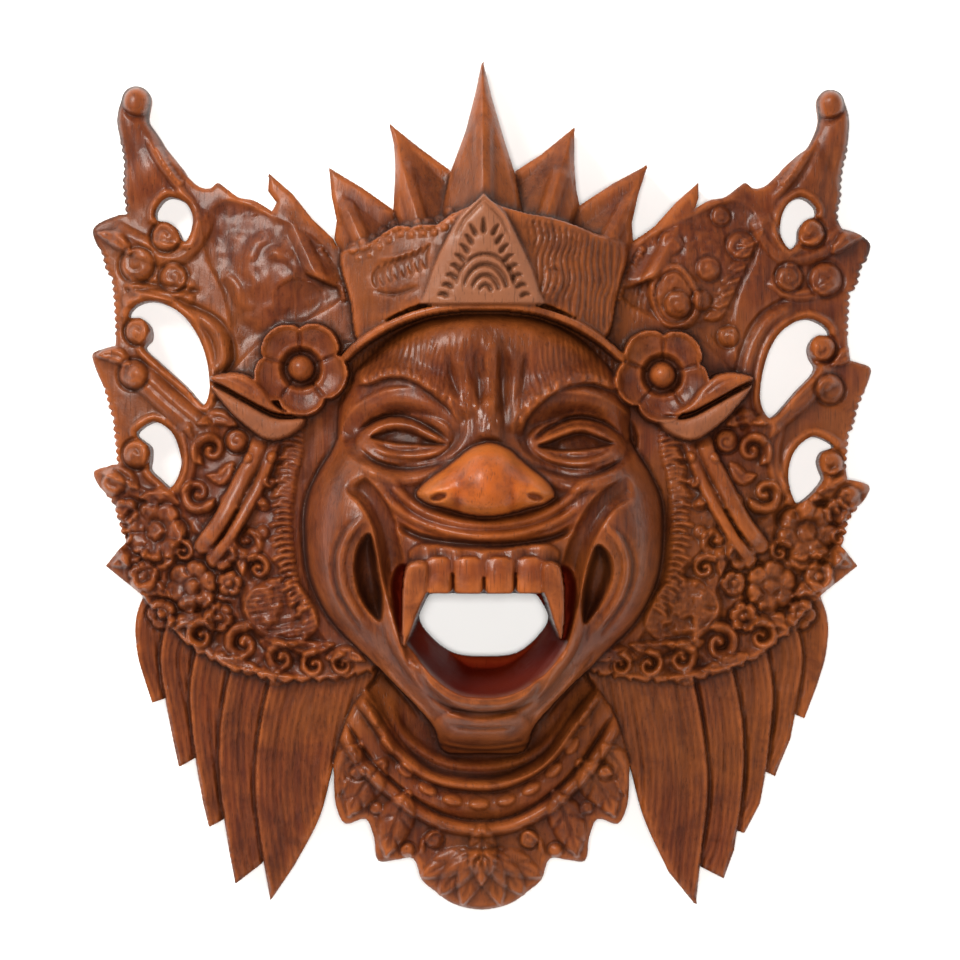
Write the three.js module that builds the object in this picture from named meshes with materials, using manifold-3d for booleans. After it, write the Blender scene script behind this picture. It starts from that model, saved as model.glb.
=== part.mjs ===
// A carved wooden barong mask, lying face up on its flat back.
// Millimetres. +X is to the right of someone looking at the face, +Y runs from the chin to the crown, and
// +Z points out of the face. The origin is on the back plane, at the middle of the length and width.
import * as THREE from "three";
import { mergeVertices } from "three/addons/utils/BufferGeometryUtils.js";
import Module from "manifold-3d";

const wasm = await Module();
wasm.setup();

// Driving dimensions.
const HALF_WIDTH = 175;
const HALF_LENGTH = 190;
const SHIELD = { centre: 46, fallX: 28, fallY: 20 }; // the plain plate: its height, and how far it falls
const LEAST_THICKNESS = 12;
const FACE = { x: 1, y: -20, halfWidth: 84, halfLength: 98, rim: 30, rise: 46 };
const MUZZLE = { x: 1, y: -72, halfWidth: 52, halfLength: 58, rise: 20 };
const HOLLOW = { x: 1, y: -22, halfWidth: 66, halfLength: 86, depth: 58 };
const CROWN = { crest: 75, wrap: 0.0075, halfBand: 17, slope: 2.5, round: 1.2 };
const GRID = { x: 22, y: 26, centring: 0.3 };
const CUT_TOP = 150; // well above the highest carving
const POINT = 0.6; // half the width left at a sharp tip

const { clamp, lerp } = THREE.MathUtils;

// Solids ------------------------------------------------------------------------------------------------

function solidOf(geometry) {
  const bare = geometry.clone();
  bare.deleteAttribute("normal");
  bare.deleteAttribute("uv");
  const merged = mergeVertices(bare, 1e-4);
  return new wasm.Manifold(
    new wasm.Mesh({
      numProp: 3,
      vertProperties: merged.getAttribute("position").array,
      triVerts: new Uint32Array(merged.index.array),
    }),
  );
}

function geometryOf(solid) {
  const { numProp, numVert, vertProperties, triVerts } = solid.getMesh();
  const positions = new Float32Array(numVert * 3);
  for (let i = 0; i < numVert; i++) {
    positions.set(vertProperties.subarray(i * numProp, i * numProp + 3), i * 3);
  }
  const geometry = new THREE.BufferGeometry();
  geometry.setAttribute("position", new THREE.BufferAttribute(positions, 3));
  geometry.setIndex(new THREE.BufferAttribute(triVerts, 1));
  return geometry;
}

function joined(solids) {
  return solids.reduce((whole, next) => whole.add(next));
}

// The same solid on the other side of the mask's middle plane.
function mirrored(solid) {
  const geometry = geometryOf(solid).scale(-1, 1, 1);
  const index = geometry.index.array;
  for (let i = 0; i < index.length; i += 3) {
    [index[i + 1], index[i + 2]] = [index[i + 2], index[i + 1]];
  }
  return solidOf(geometry);
}

// A straight-sided block of a flat outline, from below the back plane to above the carving.
function block(outline) {
  const geometry = new THREE.ExtrudeGeometry(outline, { depth: CUT_TOP + 2, bevelEnabled: false });
  return solidOf(geometry.translate(0, 0, -1));
}

// A slab swept along a flat spine: u runs along it, v across it from -1 to 1, and its top follows crest.
function blade(spine, halfWidth, crest, along = 8, across = 4, base = 0) {
  const geometry = new THREE.BoxGeometry(1, 1, 1, along, across, 1);
  const position = geometry.getAttribute("position");
  for (let i = 0; i < position.count; i++) {
    const u = position.getX(i) + 0.5;
    const v = position.getY(i) * 2;
    const at = spine.getPoint(u);
    const tangent = spine.getTangent(u);
    const aside = halfWidth(u) * v;
    const z = position.getZ(i) > 0 ? crest(u, v, at) : base;
    position.setXYZ(i, at.x - tangent.y * aside, at.y + tangent.x * aside, z);
  }
  return solidOf(geometry);
}

// Curves and outlines -----------------------------------------------------------------------------------

function curve(...points) {
  return new THREE.SplineCurve(points.map(([x, y]) => new THREE.Vector2(x, y)));
}

function roundOutline(points, steps) {
  const knots = points.map(([x, y]) => new THREE.Vector3(x, y, 0));
  const loop = new THREE.CatmullRomCurve3(knots, true, "centripetal");
  const around = loop.getPoints(steps).slice(0, -1);
  return new THREE.Shape(around.map((p) => new THREE.Vector2(p.x, p.y)));
}

function ellipseOutline(x, y, halfWidth, halfLength, steps) {
  const ring = new THREE.EllipseCurve(x, y, halfWidth, halfLength);
  return new THREE.Shape(ring.getPoints(steps).slice(0, -1));
}

function mirroredOutline(rightHalf) {
  const leftHalf = rightHalf.map(([x, y]) => [-x, y]).reverse();
  return new THREE.Shape([...rightHalf, ...leftHalf].map(([x, y]) => new THREE.Vector2(x, y)));
}

// Relief: the height of the carved front at a point -----------------------------------------------------

function shield(x, y) {
  const fall = SHIELD.fallX * (x / HALF_WIDTH) ** 2 + SHIELD.fallY * (y / HALF_LENGTH) ** 2;
  return Math.max(SHIELD.centre - fall, LEAST_THICKNESS);
}

// A smooth mound that is 1 at its middle and 0 on its edge.
function mound(x, y, centreX, centreY, halfWidth, halfLength, turn = 0) {
  const dx = x - centreX;
  const dy = y - centreY;
  const across = (dx * Math.cos(turn) + dy * Math.sin(turn)) / halfWidth;
  const along = (dy * Math.cos(turn) - dx * Math.sin(turn)) / halfLength;
  return Math.max(0, 1 - across * across - along * along) ** 1.5;
}

function faceHeight(x, y) {
  const side = Math.abs(x);
  const reach = ((x - FACE.x) / FACE.halfWidth) ** 2 + ((y - FACE.y) / FACE.halfLength) ** 2;
  if (reach > 1) return 0;
  const muzzle = MUZZLE.rise * mound(x, y, MUZZLE.x, MUZZLE.y, MUZZLE.halfWidth, MUZZLE.halfLength);
  const cheek = 15 * mound(side, y, 62, -22, 24, 46, 0.25);
  const eyeSocket = 9 * mound(side, y, 38, 19, 26, 14);
  const foreheadRidge = 8 * mound(x, y, 1, 40, 12, 40);
  return FACE.rim + FACE.rise * Math.sqrt(1 - reach) + muzzle + cheek - eyeSocket + foreheadRidge;
}

// The plate behind the face: swollen in the wings, and hollowed under the chin.
function plateHeight(x, y) {
  const side = Math.abs(x);
  const upperWing = 6 * mound(side, y, 92, 96, 26, 30);
  const lowerWing = 7 * mound(side, y, 108, -30, 40, 34);
  const neck = 9 * mound(x, y, 0, -118, 46, 26);
  return shield(x, y) + upperWing + lowerWing - neck;
}

function frontHeight(x, y) {
  return Math.max(plateHeight(x, y), faceHeight(x, y));
}

// The whole front as one solid block with a carved top, with finer cells towards the face.
function reliefBlock() {
  const geometry = new THREE.BoxGeometry(2, 2, 1, GRID.x, GRID.y, 1);
  const position = geometry.getAttribute("position");
  const spread = (t) => t * (1 - GRID.centring) + t ** 3 * GRID.centring;
  for (let i = 0; i < position.count; i++) {
    const x = spread(position.getX(i)) * (HALF_WIDTH + 2);
    const y = spread(position.getY(i)) * (HALF_LENGTH + 2);
    position.setXYZ(i, x, y, position.getZ(i) > 0 ? frontHeight(x, y) : 0);
  }
  return solidOf(geometry);
}

// Outlines of the plate, and what stands on its edges ---------------------------------------------------

const WING_OUTLINE = [
  [45, 40], [60, 100], [95, 121], [106, 127], [119, 132], [134, 141], [148, 152], [161, 146],
  [161, 130], [161, 118], [167, 106], [166, 85], [164, 66], [167, 50], [165, 28], [163, 8],
  [165, -8], [160, -28], [157, -42], [147, -52], [133, -66], [111, -80], [86, -85], [58, -84], [45, -60],
];
const WING_HOLES = [
  {
    points: [[133, 115], [140, 107], [146, 110], [144, 118], [149, 124], [141, 129], [134, 125]],
    steps: 16,
  },
  {
    points: [
      [122, 52], [127, 32], [140, 45], [153, 58], [148, 68], [156, 74], [150, 82], [136, 78], [126, 68],
    ],
    steps: 24,
  },
  {
    points: [[136, 8], [143, -3], [150, 2], [148, 12], [155, 20], [148, 26], [140, 22]],
    steps: 16,
  },
];
const MOUTH = [
  [0, -48.5], [24, -48.5], [29, -60], [20, -71], [0, -76.5], [-20, -71], [-29, -60], [-24, -48.5],
];

function wingPlate() {
  return block(roundOutline(WING_OUTLINE, 56));
}

function holesInWing() {
  return joined(WING_HOLES.map(({ points, steps }) => block(roundOutline(points, steps))));
}

function crownPlate() {
  return block(mirroredOutline([[70, 50], [68, 112], [42, 126], [16, 140]]));
}

function facePlate() {
  return block(ellipseOutline(0, -35, 74, 108, 32));
}

function throatPlate() {
  return block(ellipseOutline(0, -92, 70, 64, 32));
}

// Crown spikes: faceted blades that lean outwards, each with one sharp ridge.
const SPIKES = [
  { root: [19, 105], tip: [41.2, 160.5], halfWidth: 24, rootHeight: 60, tipHeight: 30 },
  { root: [43, 97], tip: [71, 142], halfWidth: 22, rootHeight: 54, tipHeight: 27 },
  { root: [69, 91], tip: [96, 137], halfWidth: 16, rootHeight: 45, tipHeight: 24 },
];
const MIDDLE_SPIKE = {
  root: [0, 96], tip: [0, HALF_LENGTH], halfWidth: 27, rootHeight: 66, tipHeight: 32,
};
const SPIKE_FACET_DROP = 16;

function spike({ root, tip, halfWidth, rootHeight, tipHeight }) {
  const taper = (u) => Math.max(halfWidth * (1 - u), POINT);
  const crest = (u, v) => lerp(rootHeight, tipHeight, u) - (1 - u) * SPIKE_FACET_DROP * Math.abs(v);
  return blade(curve(root, tip), taper, crest, 3, 2);
}

// Beard locks: long fluted blades, each lying a little over the next one out.
const LOCKS = [
  { line: [[139, -46], [147, -72], [147, -101]], halfWidth: 9.5, rootHeight: 30, tipHeight: 15 },
  { line: [[126, -58], [136, -92], [134.5, -129]], halfWidth: 11, rootHeight: 33, tipHeight: 16 },
  { line: [[110, -66], [123, -108], [122, -155]], halfWidth: 12.5, rootHeight: 36, tipHeight: 17 },
  { line: [[92, -70], [107, -120], [110, -178]], halfWidth: 14, rootHeight: 39, tipHeight: 18 },
  { line: [[67, -68], [82, -124], [95, -188]], halfWidth: 17, rootHeight: 42, tipHeight: 19 },
];
const FLUTES = { count: 2, depth: 2.2, fall: 3 };

function lock({ line, halfWidth, rootHeight, tipHeight }) {
  const width = (u) => Math.max(halfWidth * Math.min(1, 0.72 + u) * (1 - u ** 3), POINT);
  const crest = (u, v) => {
    const flute = FLUTES.depth * Math.abs(Math.sin(((v + 1) * FLUTES.count * Math.PI) / 2));
    return lerp(rootHeight, tipHeight, u) + (flute - FLUTES.fall * v * v) * (1 - u);
  };
  return blade(curve(...line), width, crest, 5, FLUTES.count * 2);
}

// The horn at a wing's top corner, rolled over at its end.
const HORN = {
  line: [[143, 127], [151, 146], [157.5, 162], [156, 173]],
  rootHalfWidth: 14,
  tipHalfWidth: 6.4,
  rise: 6,
  knob: { at: [155.8, 173.2, 19], radius: 6.6 },
};

function horn() {
  const width = (u) => lerp(HORN.rootHalfWidth, HORN.tipHalfWidth, Math.sqrt(u));
  const round = (v) => Math.sqrt(Math.max(0, 1 - v * v));
  const crest = (u, v, at) => shield(at.x, at.y) + 4 + HORN.rise * round(v) * (1 - 0.3 * u);
  const knob = new THREE.SphereGeometry(HORN.knob.radius, 8, 5).translate(...HORN.knob.at);
  return blade(curve(...HORN.line), width, crest, 4, 4).add(solidOf(knob));
}

// Leaf lobes down a wing's outer edge, the last one a plain thorn.
const LOBES = [
  { line: [[150, 104], [164, 112], [174.8, 111]], halfWidth: 9, rise: 7 },
  { line: [[148, 44], [163, 55], [174.8, 57]], halfWidth: 9, rise: 7 },
  { line: [[146, -16], [161, 0], [174, 3]], halfWidth: 9, rise: 7 },
  { line: [[146, -30], [158, -34], [168.5, -37]], halfWidth: 8, rise: 3 },
];

function lobe({ line, halfWidth, rise }) {
  const width = (u) => Math.max(halfWidth * Math.sqrt(1 - u * u), 2 * POINT);
  const crest = (u, v, at) => shield(at.x, at.y) + rise * (1 - v * v) * (1 - 0.5 * u) + 1;
  return blade(curve(...line), width, crest, 4, 2);
}

// The bird's beak behind each ear, with its two mandibles a groove apart.
const MANDIBLES = [
  { line: [[119, 46], [104, 46], [84, 34]], halfWidth: 6, height: 52 },
  { line: [[118, 43], [100, 33], [76, 23]], halfWidth: 5.5, height: 48 },
];

function mandible({ line, halfWidth, height }) {
  const width = (u) => Math.max(halfWidth * Math.sin(Math.PI * 0.75 * u), POINT);
  const crest = (u, v) => height - 3 + 5 * u - 3.5 * v * v;
  return blade(curve(...line), width, crest, 4, 2);
}

// A flower over each ear: a shallow dish of petals around a ball.
const FLOWER = { x: 80, y: 51, radius: 22, petals: 5, scallop: 0.14, height: 52, dish: 5, ball: 7.2 };

function flower() {
  const { radius, height, petals } = FLOWER;
  const profile = [
    [0, 0], [radius, 0], [radius, height], [radius - 3, height + 2], [radius * 0.45, height - FLOWER.dish],
    [0, height - FLOWER.dish],
  ].map(([r, z]) => new THREE.Vector2(r, z));
  const dish = new THREE.LatheGeometry(profile, petals * 4).rotateX(Math.PI / 2);
  const position = dish.getAttribute("position");
  for (let i = 0; i < position.count; i++) {
    const angle = Math.atan2(position.getY(i), position.getX(i));
    const swell = 1 - FLOWER.scallop * (1 - Math.abs(Math.sin((angle * petals) / 2)));
    position.setXY(i, position.getX(i) * swell, position.getY(i) * swell);
  }
  const ball = new THREE.SphereGeometry(FLOWER.ball, 8, 4).translate(0, 0, height);
  return joined([dish, ball].map((geometry) => solidOf(geometry.translate(FLOWER.x, FLOWER.y, 0))));
}

// The crown's band, wrapped round the brow so that its ends lie further back than its middle.
function crownBand() {
  const line = curve([-66, 80], [-40, 91], [0, 97], [40, 91], [66, 80]);
  const crest = (u, v, at) =>
    CROWN.crest - CROWN.wrap * at.x * at.x - CROWN.slope * (v + 1) - CROWN.round * v * v;
  return blade(line, () => CROWN.halfBand, crest, 10, 2);
}

// A flat-topped block of an outline, its front edges bevelled.
const BEVEL = { bevelThickness: 2, bevelSize: 2, bevelSegments: 1, bevelOffset: -2 };

function bevelledBlock(outline, bottom, depth) {
  const geometry = new THREE.ExtrudeGeometry(outline, { depth, curveSegments: 6, ...BEVEL });
  return solidOf(geometry.translate(0, 0, bottom));
}

// The pointed plaque at the middle of the band.
function crownPlaque() {
  const outline = new THREE.Shape();
  outline.moveTo(-28, 78);
  outline.quadraticCurveTo(-20, 108, 0, 127);
  outline.quadraticCurveTo(20, 108, 28, 78);
  return bevelledBlock(outline, 52, 24);
}

// Ridges laid on the relief -----------------------------------------------------------------------------

// A ridge over the carved front: half round across, fading to nothing at its ends if it is tapered.
function ridge(line, halfWidth, rise, along, height = faceHeight, tapered = true) {
  const fade = (u) => (tapered ? Math.sin(Math.PI * clamp(u, 0.04, 0.96)) ** 0.5 : 1);
  const crest = (u, v, at) => height(at.x, at.y) + rise * (1 - v * v) * fade(u);
  return blade(curve(...line), (u) => halfWidth * fade(u), crest, along, 2, LEAST_THICKNESS);
}

const FACE_RIDGES = [
  { line: [[65, -2], [50, -15], [41, -36], [37, -62]], halfWidth: 4, rise: 7, along: 4 }, // smile fold
  { line: [[15, 30], [24, 43], [40, 51], [58, 49]], halfWidth: 8, rise: 6, along: 4 }, // brow
  { line: [[13, 19], [28, 28], [44, 28], [60, 18]], halfWidth: 4, rise: 7, along: 4 }, // upper lid
  { line: [[14, 17], [30, 9], [46, 9], [60, 16]], halfWidth: 4, rise: 6, along: 4 }, // lower lid
  { line: [[50, -10], [60, -30], [56, -52], [46, -72]], halfWidth: 6, rise: 6, along: 4 }, // cheek
];
const WING_RIDGES = [
  { line: [[128, 122], [117, 92], [115, 62], [123, 34]], halfWidth: 6, rise: 7, along: 3 },
  { line: [[127, 30], [131, 8], [146, -12], [160, -14]], halfWidth: 5, rise: 6, along: 3 },
  { line: [[92, 22], [104, 0], [122, -16], [142, -22]], halfWidth: 5, rise: 7, along: 3 },
  { line: [[88, -20], [96, -44], [116, -54], [138, -48]], halfWidth: 7, rise: 7, along: 3 },
];
const LIP_RIDGES = [
  { line: [[-38, -8], [-20, -18], [1, -21], [22, -18], [40, -8]], halfWidth: 4, rise: 7, along: 6 }, // upper
  {
    line: [[-36, -66], [-31, -86], [-14, -101], [14, -101], [31, -86], [36, -66]],
    halfWidth: 7,
    rise: 10,
    along: 8,
  }, // lower
];

function rightRidges() {
  return [
    ...FACE_RIDGES.map((r) => ridge(r.line, r.halfWidth, r.rise, r.along)),
    ...WING_RIDGES.map((r) => ridge(r.line, r.halfWidth, r.rise, r.along, plateHeight)),
  ];
}

function middleRidges() {
  return LIP_RIDGES.map((r) => ridge(r.line, r.halfWidth, r.rise, r.along));
}

// Pieces of the face that stand clear of the relief -----------------------------------------------------

const NOSE = { x: 2, y: 2, height: 88, tip: [16, 15, 26], wing: [15, 9, 16], wingAside: 17, wingDrop: 6 };

function nose() {
  const tip = new THREE.SphereGeometry(1, 10, 7).scale(...NOSE.tip).translate(NOSE.x, NOSE.y, NOSE.height);
  const wings = [-1, 1].map((side) => {
    const wing = new THREE.SphereGeometry(1, 9, 5).scale(...NOSE.wing).rotateZ(side * -0.35);
    return wing.translate(NOSE.x + side * NOSE.wingAside, NOSE.y - NOSE.wingDrop, NOSE.height);
  });
  return joined([tip, ...wings].map(solidOf));
}

const TEETH = { count: 4, pitch: 12.6, gap: 0.4, top: -30, bottom: -48, front: 98, depth: 22, bulge: 1.6 };
const FANG = { x: 31, top: -33, bottom: -71, halfWidth: 5.5, front: 100, depth: 36 };

function tooth(x) {
  const { pitch, gap, top, bottom, front, depth, bulge } = TEETH;
  const geometry = new THREE.BoxGeometry(pitch - gap, top - bottom, depth, 2, 1, 1);
  const position = geometry.getAttribute("position");
  for (let i = 0; i < position.count; i++) {
    const onEdge = position.getX(i) !== 0 && position.getZ(i) > 0;
    if (onEdge) position.setZ(i, position.getZ(i) - bulge);
  }
  return solidOf(geometry.translate(x, (top + bottom) / 2, front - depth / 2));
}

function gum() {
  const line = curve([-36, -31], [0, -29], [36, -31]);
  const crest = (u, v) => TEETH.front - 34 * (u - 0.5) ** 2 - 2 * v * v;
  return blade(line, () => 6, crest, 6, 2, TEETH.front - TEETH.depth);
}

function fang() {
  const line = curve([FANG.x - 1, FANG.top], [FANG.x, -50], [FANG.x + 2, FANG.bottom]);
  const width = (u) => Math.max(FANG.halfWidth * (1 - u * u), POINT);
  const crest = (u, v) => FANG.front - 6 * u - 3 * v * v;
  return blade(line, width, crest, 5, 2, FANG.front - FANG.depth);
}

function teeth() {
  const start = -((TEETH.count - 1) * TEETH.pitch) / 2;
  const row = Array.from({ length: TEETH.count }, (_, i) => tooth(start + i * TEETH.pitch));
  return joined([gum(), ...row]);
}

// The flat-sided chin under the lower lip.
function chin() {
  const outline = mirroredOutline([[18, -119], [27, -104], [36, -88]]);
  return bevelledBlock(outline, 46, 26).subtract(mouthBasin());
}

// The basin of the open mouth, inside the lower lip.
const BASIN = { at: [0, -62, 92], radii: [33, 32, 34] };

function mouthBasin() {
  return solidOf(new THREE.SphereGeometry(1, 16, 9).scale(...BASIN.radii).translate(...BASIN.at));
}

// Throat: the collar with its ring of beads, and the palmette that hangs below it.
const COLLAR = {
  line: [[-60, -98], [-49, -125], [-26, -141], [0, -146], [26, -141], [49, -125], [60, -98]],
  halfWidth: 12,
  rise: 8,
};

function collar() {
  return ridge(COLLAR.line, COLLAR.halfWidth, COLLAR.rise, 8, plateHeight, false);
}

const BEADS = { count: 9, sweep: 1.18, radiusX: 58, radiusY: 66, centreY: -78, radii: [6.4, 3.6, 4.5] };

function beads() {
  const places = Array.from({ length: BEADS.count }, (_, i) => i / (BEADS.count - 1) - 0.5);
  const solids = places.map((place) => {
    const angle = place * 2 * BEADS.sweep;
    const x = BEADS.radiusX * Math.sin(angle);
    const y = BEADS.centreY - BEADS.radiusY * Math.cos(angle);
    const bead = new THREE.SphereGeometry(1, 6, 3).scale(...BEADS.radii).rotateZ(angle);
    return solidOf(bead.translate(x, y, plateHeight(x, y) + COLLAR.rise - 1));
  });
  return joined(solids);
}

const PALMETTE = { y: -160, halfWidth: 30, lobes: 9, scallop: 0.07, dome: 34, margin: 12 };

function palmette() {
  const halfLength = HALF_LENGTH + PALMETTE.y;
  const steps = PALMETTE.lobes * 6;
  const outline = Array.from({ length: steps }, (_, i) => {
    const angle = (i / steps) * Math.PI * 2;
    const lobe = Math.abs(Math.cos(((angle + Math.PI / 2) * PALMETTE.lobes) / 2));
    const swell = 1 - PALMETTE.scallop * (1 - lobe);
    const x = PALMETTE.halfWidth * swell * Math.cos(angle);
    return new THREE.Vector2(x, PALMETTE.y + halfLength * swell * Math.sin(angle));
  });
  const { halfWidth, margin, dome: height } = PALMETTE;
  const dome = new THREE.SphereGeometry(1, 16, 8).scale(halfWidth + margin, halfLength + margin, height);
  return block(new THREE.Shape(outline)).intersect(solidOf(dome.translate(0, PALMETTE.y, 0)));
}

const PETALS = [
  { line: [[40, -130], [56, -142], [62, -152]], halfWidth: 9 },
  { line: [[28, -140], [42, -156], [46, -169]], halfWidth: 9 },
];

function petal({ line, halfWidth }) {
  const width = (u) => Math.max(halfWidth * Math.sqrt(1 - u * u), 1);
  const crest = (u, v, at) => shield(at.x, at.y) + 4 * (1 - v * v) - 4 * u;
  return blade(curve(...line), width, crest, 4, 2);
}

// The hollow behind the face.
function hollow() {
  const { x, y, halfWidth, halfLength, depth } = HOLLOW;
  return solidOf(new THREE.SphereGeometry(1, 22, 10).scale(halfWidth, halfLength, depth).translate(x, y, 0));
}

function mouthHole() {
  return block(roundOutline(MOUTH, 28));
}

// Assembly ----------------------------------------------------------------------------------------------

// Everything in front of the back plane.
function frontSpace() {
  const box = new THREE.BoxGeometry(HALF_WIDTH * 3, HALF_LENGTH * 3, CUT_TOP);
  return solidOf(box.translate(0, 0, CUT_TOP / 2));
}

function carvedMask() {
  const rightWing = wingPlate();
  const plate = joined([crownPlate(), facePlate(), throatPlate(), rightWing, mirrored(rightWing)]);
  const relief = reliefBlock().intersect(plate);
  const rightSide = joined([
    ...SPIKES.map(spike), ...LOCKS.map(lock), ...LOBES.map(lobe), ...MANDIBLES.map(mandible),
    ...PETALS.map(petal), ...rightRidges(), horn(), flower(), fang(),
  ]);
  const middle = joined([
    spike(MIDDLE_SPIKE), crownBand(), crownPlaque(), ...middleRidges(), nose(), teeth(), chin(), collar(),
    beads(), palmette(),
  ]);
  const holes = holesInWing();
  return joined([relief.subtract(mouthBasin()), rightSide, mirrored(rightSide), middle])
    .subtract(joined([holes, mirrored(holes), mouthHole(), hollow()]))
    .intersect(frontSpace());
}

const wood = new THREE.MeshStandardMaterial({ color: 0x8a4a2b, roughness: 0.45, metalness: 0 });
const mask = new THREE.Mesh(geometryOf(carvedMask()), wood);
mask.name = "mask";

const model = new THREE.Group();
model.add(mask);

export default model;
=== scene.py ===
"""The looks of a carved wooden barong mask: its fine relief, its stained wood, and a plain stage."""

import math

import bpy
import mathutils
import numpy as np
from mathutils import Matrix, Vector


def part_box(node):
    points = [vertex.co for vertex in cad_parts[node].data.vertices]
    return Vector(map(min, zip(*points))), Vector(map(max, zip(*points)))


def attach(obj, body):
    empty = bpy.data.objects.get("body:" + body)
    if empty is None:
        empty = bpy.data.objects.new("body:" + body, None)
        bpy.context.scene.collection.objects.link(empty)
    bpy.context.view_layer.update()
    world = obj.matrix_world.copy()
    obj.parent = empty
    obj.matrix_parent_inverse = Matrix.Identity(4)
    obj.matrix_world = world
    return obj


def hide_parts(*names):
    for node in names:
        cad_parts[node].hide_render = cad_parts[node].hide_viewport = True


bl_info = {
    "name": "Carved barong mask",
    "version": (1, 0, 0),
    "blender": (4, 5, 0),
    "location": "3D View > Sidebar > Mask",
    "description": "Carves a wooden barong mask round its plain solid, and lights it on a pale floor",
    "category": "Add Mesh",
}

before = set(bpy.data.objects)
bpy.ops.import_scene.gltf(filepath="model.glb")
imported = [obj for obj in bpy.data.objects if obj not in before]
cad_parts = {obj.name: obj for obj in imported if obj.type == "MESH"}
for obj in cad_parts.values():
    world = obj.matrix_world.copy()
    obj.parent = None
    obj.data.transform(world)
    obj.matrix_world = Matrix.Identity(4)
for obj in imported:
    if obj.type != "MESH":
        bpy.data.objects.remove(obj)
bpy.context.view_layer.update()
LOWEST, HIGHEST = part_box("mask")
MM = 0.001
HALF_WIDTH = (HIGHEST.x - LOWEST.x) / 2 / MM
HALF_LENGTH = HIGHEST.y / MM
FAR = 1000.0
SIDES = (-1, 1)


# Lines and distances, in millimetres ------------------------------------------------------------------------


def smooth(t):
    """0 to 1 with a soft start and end."""
    t = np.clip(t, 0.0, 1.0)
    return t * t * (3.0 - 2.0 * t)


def half_round(t):
    """The height of a half round: 1 at its middle, where t is 0, and 0 at its edge, where t is 1."""
    return np.sqrt(np.clip(1.0 - t * t, 0.0, 1.0))


def curve(points, closed=False, per=6):
    """Points along a smooth line through the given ones."""
    p = np.asarray(points, float)
    if closed:
        p = np.vstack([p[-1:], p, p[:2]])
    else:
        p = np.vstack([2 * p[:1] - p[1:2], p, 2 * p[-1:] - p[-2:-1]])
    a, b, c, d = p[:-3], p[1:-2], p[2:-1], p[3:]
    before, here, after = (np.sqrt(np.hypot(*(q - r).T))[:, None] for q, r in ((b, a), (c, b), (d, c)))
    start = here * ((b - a) / before - (c - a) / (before + here) + (c - b) / here)
    end = here * ((c - b) / here - (d - b) / (here + after) + (d - c) / after)
    t = np.linspace(0.0, 1.0, per, endpoint=False)[None, :, None]
    b, c, start, end = (q[:, None, :] for q in (b, c, start, end))
    line = (
        (2 * t**3 - 3 * t**2 + 1) * b
        + (t**3 - 2 * t**2 + t) * start
        + (3 * t**2 - 2 * t**3) * c
        + (t**3 - t**2) * end
    ).reshape(-1, 2)
    return line if closed else np.vstack([line, p[-2:-1]])


def trace(x, y, line, closed=False):
    """Distance to a line, which side of it (1 on the left of its run), and the share of it behind."""
    ends = np.vstack([line, line[:1]]) if closed else line
    runs = np.hypot(*np.diff(ends, axis=0).T)
    total = runs.sum()
    nearest = np.full(x.shape, FAR * FAR)
    side = np.zeros_like(x)
    share = np.zeros_like(x)
    done = 0.0
    for (ax, ay), (bx, by), run in zip(ends[:-1], ends[1:], runs):
        dx, dy = bx - ax, by - ay
        t = np.clip(((x - ax) * dx + (y - ay) * dy) / max(run * run, 1e-12), 0.0, 1.0)
        px, py = x - ax - t * dx, y - ay - t * dy
        distance = px * px + py * py
        nearer = distance < nearest
        nearest = np.where(nearer, distance, nearest)
        side = np.where(nearer, np.sign(dx * py - dy * px), side)
        share = np.where(nearer, (done + t * run) / total, share)
        done += run
    return np.sqrt(nearest), side, share


def beyond(x, y, loop):
    """Distance outside a closed line, negative inside it."""
    within = np.zeros(x.shape, bool)
    for (ax, ay), (bx, by) in zip(loop, np.roll(loop, -1, axis=0)):
        if ay == by:
            continue
        crosses = (ay > y) != (by > y)
        within ^= crosses & (x < (bx - ax) * (y - ay) / (by - ay) + ax)
    distance = trace(x, y, loop, closed=True)[0]
    return np.where(within, -distance, distance)


def on_side(points, side, middle=0.0):
    """Points given for the right-hand half, on that side of a middle line."""
    return [(middle + side * x, y) for x, y in points]


TABLE_SIZE = 64


def patches(x, y, size, seed):
    """Soft random patches about `size` across, from -1 to 1."""
    table = np.random.default_rng(seed).uniform(-1.0, 1.0, (TABLE_SIZE, TABLE_SIZE))
    i, j = np.floor(x / size).astype(int), np.floor(y / size).astype(int)
    u, v = smooth(x / size - i), smooth(y / size - j)

    def corner(a, b):
        return table[(i + a) % TABLE_SIZE, (j + b) % TABLE_SIZE]

    low = corner(0, 0) * (1 - u) + corner(1, 0) * u
    high = corner(0, 1) * (1 - u) + corner(1, 1) * u
    return low * (1 - v) + high * v


def pebbles(x, y, pitch, seed):
    """Packed round bumps about `pitch` across, 1 at their tops and 0 between them."""
    offsets = np.random.default_rng(seed).uniform(0.15, 0.85, (TABLE_SIZE, TABLE_SIZE, 2))
    i, j = np.floor(x / pitch).astype(int), np.floor(y / pitch).astype(int)
    nearest = np.full(x.shape, FAR)
    for a in (-1, 0, 1):
        for b in (-1, 0, 1):
            spot = offsets[(i + a) % TABLE_SIZE, (j + b) % TABLE_SIZE]
            distance = np.hypot(x / pitch - i - a - spot[..., 0], y / pitch - j - b - spot[..., 1])
            nearest = np.minimum(nearest, distance)
    return half_round(nearest / 0.72)


def blurred(field, radius):
    """A field averaged over about `radius` cells, three box passes each way."""
    reach = max(int(round(radius * 0.6)), 1)
    for _ in range(3):
        for axis in (0, 1):
            pad = [(reach + 1, reach) if a == axis else (0, 0) for a in (0, 1)]
            total = np.cumsum(np.pad(field, pad, mode="edge"), axis=axis)
            count = 2 * reach + 1
            high, low = [slice(None)] * 2, [slice(None)] * 2
            high[axis], low[axis] = slice(count, None), slice(None, -count)
            field = (total[tuple(high)] - total[tuple(low)]) / count
    return field


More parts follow.
